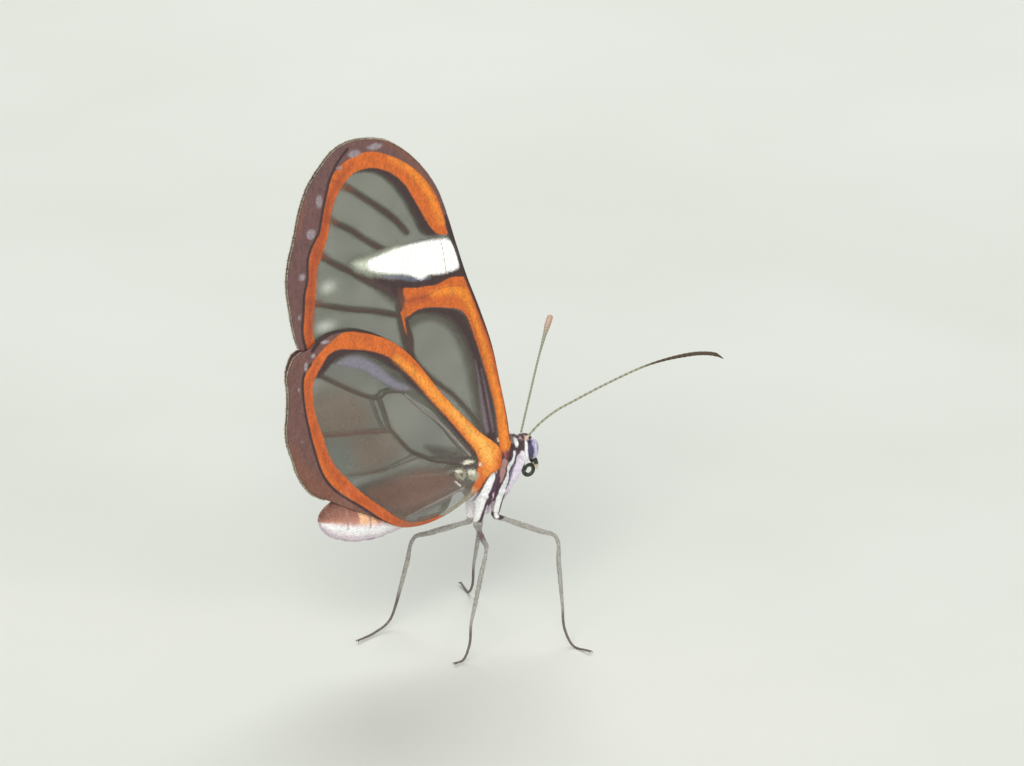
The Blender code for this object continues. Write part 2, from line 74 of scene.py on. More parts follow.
# Distances between the points of smoothed curves, and the depth where a marking is absent.
RIM_STEP = 0.3
PATCH_STEP = 0.35
STROKE_STEP = 0.4
VEIN_STEP = 0.5
FAR_OUTSIDE = -3.0
OFF_VEINS = -9.0

PHOTO_WIDTH = 1024
PIXELS_PER_MM = 13.5

Points = tuple[tuple[float, ...], ...]
Array = np.ndarray
Item = bpy.types.Object
Material = bpy.types.Material
Socket = bpy.types.NodeSocket


class Side(Enum):
    """Which half of the animal a piece belongs to."""

    LEFT = 1
    RIGHT = -1

    @property
    def label(self) -> str:
        """The side's name as the nodes use it."""
        return self.name.lower()


def linear(code: str) -> tuple[float, float, float]:
    """Turn a hex colour into linear light.

    Args:
        code: six hex digits after a hash.

    Returns:
        Red, green and blue from 0 to 1.
    """
    parts = [int(code[k : k + 2], 16) / 255 for k in (1, 3, 5)]
    return tuple(c / 12.92 if c <= 0.04045 else ((c + 0.055) / 1.055) ** 2.4 for c in parts)


def solid(code: str, dim: float = 1.0) -> tuple[float, float, float, float]:
    """Turn a hex colour into a shader colour, darkened by a factor."""
    return (*(dim * c for c in linear(code)), 1.0)


def soft_step(value: Array) -> Array:
    """Rise softly from 0 to 1 as the value does."""
    t = np.clip(value, 0.0, 1.0)
    return t * t * (3 - 2 * t)


def hinge_place() -> Vector:
    """Find the forewings' hinge in the frame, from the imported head.

    Returns:
        The hinge in metres.
    """
    low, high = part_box("head")
    middle = (low + high) / 2
    return Vector((high.x - HEAD_FRONT * MM, middle.y, middle.z))


def smooth_line(points: Points | Array, step: float, closed: bool = False) -> Array:
    """Draw a smooth curve through points of any dimension.

    Args:
        points: the places to pass through, in order.
        step: distance between the curve's own points, in the first two or three values.
        closed: whether the last point joins the first.

    Returns:
        Evenly spaced points along the curve.
    """
    knots = np.asarray(points, float)
    count = len(knots)
    axes = min(3, knots.shape[1])
    dense = []
    for index in range(count if closed else count - 1):
        around = [index + k for k in (-1, 0, 1, 2)]
        picks = [k % count if closed else min(max(k, 0), count - 1) for k in around]
        before, start, end, after = knots[picks]
        way = end - start
        chord = np.linalg.norm(way[:axes])
        back = max(np.linalg.norm((start - before)[:axes]), 1e-6)
        ahead = max(np.linalg.norm((after - end)[:axes]), 1e-6)
        leave = ((start - before) * chord / back + way * back / chord) / (back + chord) * chord
        arrive = (way * ahead / chord + (after - end) * chord / ahead) / (chord + ahead) * chord
        leave = way if picks[0] == picks[1] else leave
        arrive = way if picks[2] == picks[3] else arrive
        t = np.linspace(0, 1, 16, endpoint=False)[:, None]
        dense.append(
            start * (2 * t**3 - 3 * t**2 + 1) + leave * (t**3 - 2 * t**2 + t)
            + end * (3 * t**2 - 2 * t**3) + arrive * (t**3 - t**2)
        )
    line = np.vstack([*dense, knots[:1] if closed else knots[-1:]])
    gaps = np.linalg.norm(np.diff(line[:, :axes], axis=0), axis=1)
    lengths = np.concatenate([[0], np.cumsum(gaps)])
    total = max(2, round(lengths[-1] / step))
    at = np.linspace(0, lengths[-1], total + 1)[: total if closed else None]
    return np.column_stack([np.interp(at, lengths, line[:, k]) for k in range(line.shape[1])])


def part_way(start: Array, end: Array, share: float) -> Array:
    """Find the place that lies a share of the way from one place to another."""
    return start + (end - start) * share


def line_depth(places: Array, line: Array, axes: int = 2) -> Array:
    """Measure how deep places lie inside a brush stroke of changing width.

    Args:
        places: the places, one a row.
        line: the stroke's points, each with its half width as its last value.
        axes: how many values of a row are its place.

    Returns:
        The half width less the distance to the line, so negative outside.
    """
    best = np.full(len(places), -np.inf)
    for start, end in zip(line, line[1:]):
        way = end[:axes] - start[:axes]
        along = np.clip((places - start[:axes]) @ way / max(way @ way, 1e-9), 0, 1)
        gap = np.linalg.norm(places - start[:axes] - along[:, None] * way, axis=1)
        best = np.maximum(best, start[axes] + (end[axes] - start[axes]) * along - gap)
    return best


def inside(places: Array, outline: Array) -> Array:
    """Tell which places lie inside a closed outline."""
    result = np.zeros(len(places), bool)
    x, y = places.T
    for (ax, ay), (bx, by) in zip(outline, np.roll(outline, -1, axis=0)):
        if ay != by:
            result ^= ((ay > y) != (by > y)) & (x < ax + (y - ay) * (bx - ax) / (by - ay))
    return result


def rim_depth(places: Array, outline: Array) -> Array:
    """Measure how deep places lie inside a closed outline, negative outside."""
    ring = np.vstack([outline, outline[:1]])
    gap = -line_depth(places, np.column_stack([ring, np.zeros(len(ring))]))
    return np.where(inside(places, outline), gap, -gap)


@contextmanager
def edit_mode(item: Item) -> Iterator[None]:
    """Hold one object in edit mode, with nothing else selected."""
    choose(item)
    bpy.ops.object.mode_set(mode="EDIT")
    yield
    bpy.ops.object.mode_set(mode="OBJECT")


def choose(*items: Item) -> None:
    """Select these objects alone and make the first one active."""
    bpy.ops.object.select_all(action="DESELECT")
    for item in items:
        item.select_set(True)
    bpy.context.view_layer.objects.active = items[0]


def link(name: str, data: bpy.types.ID) -> Item:
    """Put new data into the scene as an object."""
    item = bpy.data.objects.new(name, data)
    bpy.context.scene.collection.objects.link(item)
    return item


def named(name: str) -> Item:
    """Give the object that was just added its name, with its place in its mesh."""
    item = bpy.context.active_object
    choose(item)
    bpy.ops.object.transform_apply(location=True, rotation=True, scale=True)
    item.name = item.data.name = name
    return item


def coordinates(item: Item) -> Array:
    """Read an object's vertex places, one a row."""
    values = np.empty(len(item.data.vertices) * 3, np.float32)
    item.data.vertices.foreach_get("co", values)
    return values.reshape(-1, 3).astype(float)


def move_vertices(item: Item, places: Array) -> None:
    """Write an object's vertex places, one a row."""
    item.data.vertices.foreach_set("co", places.astype(np.float32).ravel())
    item.data.update()


def add_values(item: Item, name: str, values: Array) -> None:
    """Store one number or one colour a vertex as a named attribute."""
    kind, key = ("FLOAT", "value") if values.ndim == 1 else ("FLOAT_COLOR", "color")
    if values.ndim == 2:
        values = np.column_stack([values, np.ones(len(values))])
    layer = item.data.attributes.new(name, kind, "POINT")
    layer.data.foreach_set(key, values.astype(np.float32).ravel())


def ellipsoid(
    name: str, centre: tuple, half: tuple, segments: int = 48, rings: int = 28
) -> Item:
    """Add an ellipsoid with its poles along X.

    Args:
        name: name of the object.
        centre: its middle.
        half: its half sizes along X, Y and Z.
        segments: faces around it.
        rings: faces from pole to pole.

    Returns:
        The object.
    """
    bpy.ops.mesh.primitive_uv_sphere_add(
        segments=segments, ring_count=rings, radius=1.0, rotation=(0, math.radians(90), 0)
    )
    item = named(name)
    item.data.transform(Matrix.Translation(centre) @ Matrix.Diagonal((*half, 1.0)))
    return item


def tube(name: str, stations: Points | Array, step: float, resolution: int = 4) -> Item:
    """Sweep a round, tapering tube along a smooth curve.

    Args:
        name: name of the object.
        stations: X, Y, Z and radius of the places to pass through.
        step: distance between the rings of the tube.
        resolution: fineness of its section.

    Returns:
        The tube as a closed mesh.
    """
    line = smooth_line(stations, step)
    curve = bpy.data.curves.new(name, "CURVE")
    curve.dimensions = "3D"
    curve.bevel_depth = 1.0
    curve.bevel_resolution = resolution
    curve.use_fill_caps = True
    spline = curve.splines.new("POLY")
    spline.points.add(len(line) - 1)
    places = np.column_stack([line[:, :3], np.ones(len(line))])
    spline.points.foreach_set("co", places.astype(np.float32).ravel())
    spline.points.foreach_set("radius", line[:, 3].astype(np.float32))
    item = link(name, curve)
    choose(item)
    bpy.ops.object.convert(target="MESH")
    item = named(name)
    with edit_mode(item):
        bpy.ops.mesh.select_all(action="SELECT")
        bpy.ops.mesh.remove_doubles(threshold=1e-4)
        bpy.ops.mesh.normals_make_consistent(inside=False)
    return item


def modify(item: Item, kind: str, **settings: float | str | bool) -> None:
    """Add a modifier with these settings and apply it."""
    choose(item)
    modifier = item.modifiers.new(kind.lower(), kind)
    for key, value in settings.items():
        setattr(modifier, key, value)
    bpy.ops.object.modifier_apply(modifier=modifier.name)


def finish_piece(item: Item, material: Material, slot: str, *nodes: str) -> None:
    """Move a piece from millimetres into the frame, dress it and set it on the body.

    Args:
        item: the finished mesh.
        material: what it is made of.
        slot: the slot of that material, not used.
        nodes: the solids that it stands for.
    """
    item.data.transform(Matrix.Translation(hinge_place()) @ Matrix.Scale(MM, 4))
    item.data.materials.clear()
    item.data.materials.append(material)
    item.data.shade_smooth()
    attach(item, BODY)
    if nodes:
        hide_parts(*nodes)
    log.info("%s: %d vertices", item.name, len(item.data.vertices))


class Recipe:
    """Builds the node tree of one material."""

    def __init__(self, name: str) -> None:
        """Start a material with an empty principled shader.

        Args:
            name: name of the material.
        """
        self.material = bpy.data.materials.new(name)
        self.material.use_nodes = True
        self.tree = self.material.node_tree
        self.shader = self.tree.nodes["Principled BSDF"]
        self.place = self.node("ShaderNodeTexCoord").outputs["Object"]

    def node(self, kind: str, **settings: object) -> bpy.types.Node:
        """Add a node with these properties."""
        made = self.tree.nodes.new(kind)
        for key, value in settings.items():
            setattr(made, key, value)
        return made

    def feed(self, socket: Socket, value: object) -> None:
        """Link a socket or set its value."""
        if isinstance(value, Socket):
            self.tree.links.new(value, socket)
        else:
            socket.default_value = value

    def attribute(self, name: str, colour: bool = False) -> Socket:
        """Read a named attribute as a number or as a colour."""
        made = self.node("ShaderNodeAttribute", attribute_name=name)
        return made.outputs["Color" if colour else "Fac"]

    def grain(self, per_mm: float, detail: float = 2.0, stretch: tuple = (1, 1, 1)) -> Socket:
        """Make noise with so many grains a millimetre.

        Args:
            per_mm: grains in a millimetre.
            detail: finer octaves on top.
            stretch: factors on the three axes.

        Returns:
            The noise, around a half.
        """
        mapping = self.node("ShaderNodeMapping")
        self.feed(mapping.inputs["Vector"], self.place)
        mapping.inputs["Scale"].default_value = tuple(per_mm / MM * k for k in stretch)
        noise = self.node("ShaderNodeTexNoise")
        self.feed(noise.inputs["Vector"], mapping.outputs["Vector"])
        noise.inputs["Scale"].default_value = 1.0
        noise.inputs["Detail"].default_value = detail
        return noise.outputs["Fac"]

    def scales(self, per_mm: float) -> tuple[Socket, Socket]:
        """Lay out small overlapping scales.

        Args:
            per_mm: scales in a millimetre.

        Returns:
            A brightness for each scale, and the height of its dome.
        """
        mapping = self.node("ShaderNodeMapping")
        self.feed(mapping.inputs["Vector"], self.place)
        mapping.inputs["Scale"].default_value = (1.3 * per_mm / MM, 0.5 / MM, 0.8 * per_mm / MM)
        cells = self.node("ShaderNodeTexVoronoi", feature="F1")
        self.feed(cells.inputs["Vector"], mapping.outputs["Vector"])
        cells.inputs["Scale"].default_value = 1.0
        shade = self.between(cells.outputs["Color"], 0.0, 1.0, 0.8, 1.14)
        return shade, self.between(cells.outputs["Distance"], 0.0, 0.8, 1.0, 0.0)

    def sums(
        self, operation: str, first: object, second: object = 0.0, third: object = 0.0
    ) -> Socket:
        """Do one step of arithmetic on sockets or numbers."""
        made = self.node("ShaderNodeMath", operation=operation)
        for socket, value in zip(made.inputs, (first, second, third)):
            self.feed(socket, value)
        return made.outputs[0]

    def between(
        self, value: object, low: float, high: float, start: float = 0.0, end: float = 1.0
    ) -> Socket:
        """Map a range of numbers smoothly to another."""
        made = self.node("ShaderNodeMapRange", interpolation_type="SMOOTHSTEP")
        numbers = {"From Min": low, "From Max": high, "To Min": start, "To Max": end}
        for key, number in {"Value": value, **numbers}.items():
            self.feed(made.inputs[key], number)
        return made.outputs["Result"]

    def mix(self, cover: object, under: object, over: object, kind: str = "MIX") -> Socket:
        """Lay one colour over another."""
        made = self.node("ShaderNodeMix", data_type="RGBA", blend_type=kind)
        self.feed(made.inputs["Factor"], cover)
        self.feed(made.inputs["A"], under)
        self.feed(made.inputs["B"], over)
        return made.outputs["Result"]

    def bump(self, height: object, depth_mm: float, strength: float = 1.0) -> None:
        """Raise the surface by a height from 0 to 1."""
        made = self.node("ShaderNodeBump")
        made.inputs["Distance"].default_value = depth_mm * MM
        made.inputs["Strength"].default_value = strength
        self.feed(made.inputs["Height"], height)
        self.feed(self.shader.inputs["Normal"], made.outputs["Normal"])

    def set(self, **values: object) -> None:
        """Set shader sockets, named with underscores for spaces."""
        for key, value in values.items():
            self.feed(self.shader.inputs[key.replace("_", " ")], value)


@dataclass(frozen=True)
class Marking:
    """One colour laid on a wing's clear membrane, in brush strokes, filled patches and spots."""

    name: str
    colour: str
    cover: float = 1.0
    softness: float = 0.06
    ragged: float = 0.16
    streak: float = 0.4
    strokes: tuple[Points, ...] = ()
    patches: tuple[Points, ...] = ()
    spots: Points = ()

    def depth(self, plan: Array) -> Array:
        """Measure how deep places of the wing lie in this marking.

        Args:
            plan: X and Z of the places.

        Returns:
            Depth in millimetres, negative outside.
        """
        best = np.full(len(plan), FAR_OUTSIDE)
        for stroke in self.strokes:
            best = np.maximum(best, line_depth(plan, smooth_line(stroke, STROKE_STEP)))
        for patch in self.patches:
            rim = smooth_line(patch, PATCH_STEP, closed=True)
            best = np.maximum(best, rim_depth(plan, rim))
        for x, z, across, up in self.spots:
            reach = np.hypot((plan[:, 0] - x) / across, (plan[:, 1] - z) / up)
            best = np.maximum(best, (1 - reach) * min(across, up))
        return best


@dataclass
class Wing:
    """A pair of wings alike in outline, veins and markings."""

    label: str
    outline: Points
    veins: tuple[Points, ...]
    markings: tuple[Marking, ...]
    face: Callable[[Array, Array], Array]
    fringe: Points
    pane: str
    cloud: str
    cell: float = 0.095
    thickness: float = 0.05
    ridge: float = 0.045
    arch: float = 0.05
    pane_cover: float = 0.36

    def sheet(self) -> Item:
        """Cut the flat shape of the wing out of a fine grid.

        Returns:
            A sheet with its plan in X and Y.
        """
        rim = smooth_line(self.outline, RIM_STEP, closed=True)
        low, high = rim.min(0), rim.max(0)
        size = high - low
        columns, rows = (int(k) for k in np.ceil(size / self.cell))
        bpy.ops.mesh.primitive_grid_add(x_subdivisions=columns, y_subdivisions=rows, size=1.0)
        item = named(self.label)
        middle = (low + high) / 2
        item.data.transform(Matrix.Translation((*middle, 0)) @ Matrix.Diagonal((*size, 1, 1)))
        mesh = item.data
        centres = np.empty(len(mesh.polygons) * 3)
        mesh.polygons.foreach_get("center", centres)
        outside = ~inside(centres.reshape(-1, 3)[:, :2], rim)
        with edit_mode(item):
            bpy.ops.mesh.select_mode(type="FACE")
            bpy.ops.mesh.select_all(action="DESELECT")
            bpy.ops.object.mode_set(mode="OBJECT")
            mesh.polygons.foreach_set("select", outside)
            bpy.ops.object.mode_set(mode="EDIT")
            bpy.ops.mesh.delete(type="FACE")
        self.fit_rim(item, rim)
        return item

    def fit_rim(self, item: Item, rim: Array) -> None:
        """Pull the sheet's stepped edge onto the true outline."""
        mesh = item.data
        corners = np.empty(len(mesh.loops), np.int64)
        mesh.loops.foreach_get("edge_index", corners)
        ends = np.empty(len(mesh.edges) * 2, np.int64)
        mesh.edges.foreach_get("vertices", ends)
        uses = np.bincount(corners, minlength=len(mesh.edges))
        border = np.unique(ends.reshape(-1, 2)[uses == 1])
        places = coordinates(item)
        ring = np.vstack([rim, rim[:1]])
        best = np.full(len(border), np.inf)
        found = places[border, :2].copy()
        for start, end in zip(ring, ring[1:]):
            way = end - start
            along = np.clip((places[border, :2] - start) @ way / (way @ way), 0, 1)
            foot = start + along[:, None] * way
            gap = np.linalg.norm(places[border, :2] - foot, axis=1)
            nearer = gap < best
            best[nearer], found[nearer] = gap[nearer], foot[nearer]
        places[border, :2] = found
        move_vertices(item, places)
        with edit_mode(item):
            bpy.ops.mesh.select_all(action="SELECT")
            bpy.ops.mesh.remove_doubles(threshold=0.15 * self.cell)

    def build(self, material: Material) -> None:
        """Make both wings of the pair, thin closed shells with raised veins."""
        item = self.sheet()
        plan = coordinates(item)[:, :2]
        rib = np.full(len(plan), OFF_VEINS)
        for vein in self.veins:
            rib = np.maximum(rib, line_depth(plan, smooth_line(vein, VEIN_STEP)))
        raised = self.ridge * soft_step((rib + 0.12) / 0.26)
        arch = self.arch * (1 - np.exp(np.minimum(rib, 0) / 0.8))
        middle = self.face(plan[:, 0], plan[:, 1]) + arch
        half = self.thickness / 2 + raised
        modify(item, "SOLIDIFY", thickness=self.thickness, offset=1.0)
        count = len(plan)
        if len(item.data.vertices) != 2 * count:
            raise ValueError(f"{self.label}: the sheet isn't one clean layer")
        both = np.tile(plan, (2, 1))
        across = np.concatenate([middle - half, middle + half])
        move_vertices(item, np.column_stack([both[:, 0], across, both[:, 1]]))
        with edit_mode(item):
            bpy.ops.mesh.select_all(action="SELECT")
            bpy.ops.mesh.normals_make_consistent(inside=False)
        for marking in self.markings:
            add_values(item, marking.name, np.tile(marking.depth(plan), 2))
        choose(item)
        bpy.ops.object.duplicate()
        other = named(f"{self.label}_membrane_{Side.RIGHT.label}")
        other.data.transform(Matrix.Diagonal((1, -1, 1, 1)))
        other.data.flip_normals()
        item.name = item.data.name = f"{self.label}_membrane_{Side.LEFT.label}"
        for piece, side in ((item, Side.LEFT), (other, Side.RIGHT)):
            finish_piece(piece, material, "wing", f"{self.label}_{side.label}")

    def material(self) -> Material:
        """Mix the clear membrane and its scaled markings."""
        recipe = Recipe(f"{self.label}_scales")
        speck = recipe.sums("SUBTRACT", recipe.grain(9.0, 1.0), 0.5)
        streak = recipe.between(recipe.grain(2.6, 3.0, (1.0, 1.0, 0.4)), 0.35, 0.75)
        scale_shade, scale_dome = recipe.scales(8.0)
        cloud = recipe.between(recipe.grain(0.3, 3.0), 0.35, 0.65)
        colour, cover = recipe.mix(cloud, solid(self.pane), solid(self.cloud)), self.pane_cover
        scaled = 0.0
        for marking in self.markings:
            depth = recipe.attribute(marking.name)
            depth = recipe.sums("MULTIPLY_ADD", speck, marking.ragged, depth)
            share = recipe.between(depth, -marking.softness, marking.softness, 0.0, marking.cover)
            dark = recipe.sums("MULTIPLY", streak, marking.streak)
            shade = recipe.mix(dark, solid(marking.colour), solid(marking.colour, 0.45))
            colour = recipe.mix(share, colour, shade)
            cover = recipe.sums("MULTIPLY_ADD", share, recipe.sums("SUBTRACT", 1.0, cover), cover)
            scaled = recipe.sums("MAXIMUM", scaled, share)
        colour = recipe.mix(scaled, colour, recipe.mix(1.0, colour, scale_shade, "MULTIPLY"))
        dull = recipe.between(scaled, 0.0, 1.0, 0.3, 0.6)
        recipe.set(Base_Color=colour, Alpha=cover, Roughness=dull)
        recipe.shader.inputs["Sheen Weight"].default_value = 0.06
        dome = recipe.sums("SUBTRACT", scale_dome, 0.5)
        recipe.bump(recipe.sums("MULTIPLY", dome, scaled), 0.02, 0.5)
        return recipe.material


FOREWING_GAP = 0.12
HINDWING_GAP = 0.13
HINDWING_PLAY = 0.16
PARTING_HEIGHT = 7.0
PARTING_REACH = 7.9
TORNUS = np.array((-17.6, 10.9))
WING_ROOT = np.array((-1.05, 0.7))

# X, Z and half width of the body where the hindwings pass it.
BODY_BESIDE_WINGS = (
    (0.5, -1.4, 1.5), (-1.6, -1.7, 1.9), (-4.0, -1.9, 1.5), (-6.0, -2.2, 1.4), (-9.0, -2.65, 1.65),
    (-11.5, -2.85, 1.95), (-13.4, -2.85, 1.8), (-14.8, -2.75, 1.2), (-16.0, -2.7, 0.3),
)


def forewing_face(x: Array, z: Array) -> Array:
    """Distance of a forewing from the mid-plane: closed above, apart at the thorax."""
    return FOREWING_GAP + (np.maximum(0.0, PARTING_HEIGHT - z) / PARTING_REACH) ** 2.2


def hindwing_face(x: Array, z: Array) -> Array:
    """Distance of a hindwing from the mid-plane: outside the forewing and the body."""
    axis = np.array(BODY_BESIDE_WINGS)[::-1]
    middle = np.interp(x, axis[:, 0], axis[:, 1])
    depth = np.interp(x, axis[:, 0], axis[:, 2])
    over_body = 0.82 * depth * (1 - soft_step((np.abs(z - middle) / depth - 0.15) / 1.45))
    chord = (WING_ROOT - TORNUS) / np.linalg.norm(WING_ROOT - TORNUS)
    below = (np.column_stack([x, z]) - TORNUS) @ np.array((chord[1], -chord[0]))
    over_forewing = (forewing_face(x, z) - FOREWING_GAP) * soft_step(1 - below / 6.0)
    play = HINDWING_PLAY * soft_step(1 - below / 2.5)
    return HINDWING_GAP + play + np.maximum(over_body, over_forewing)


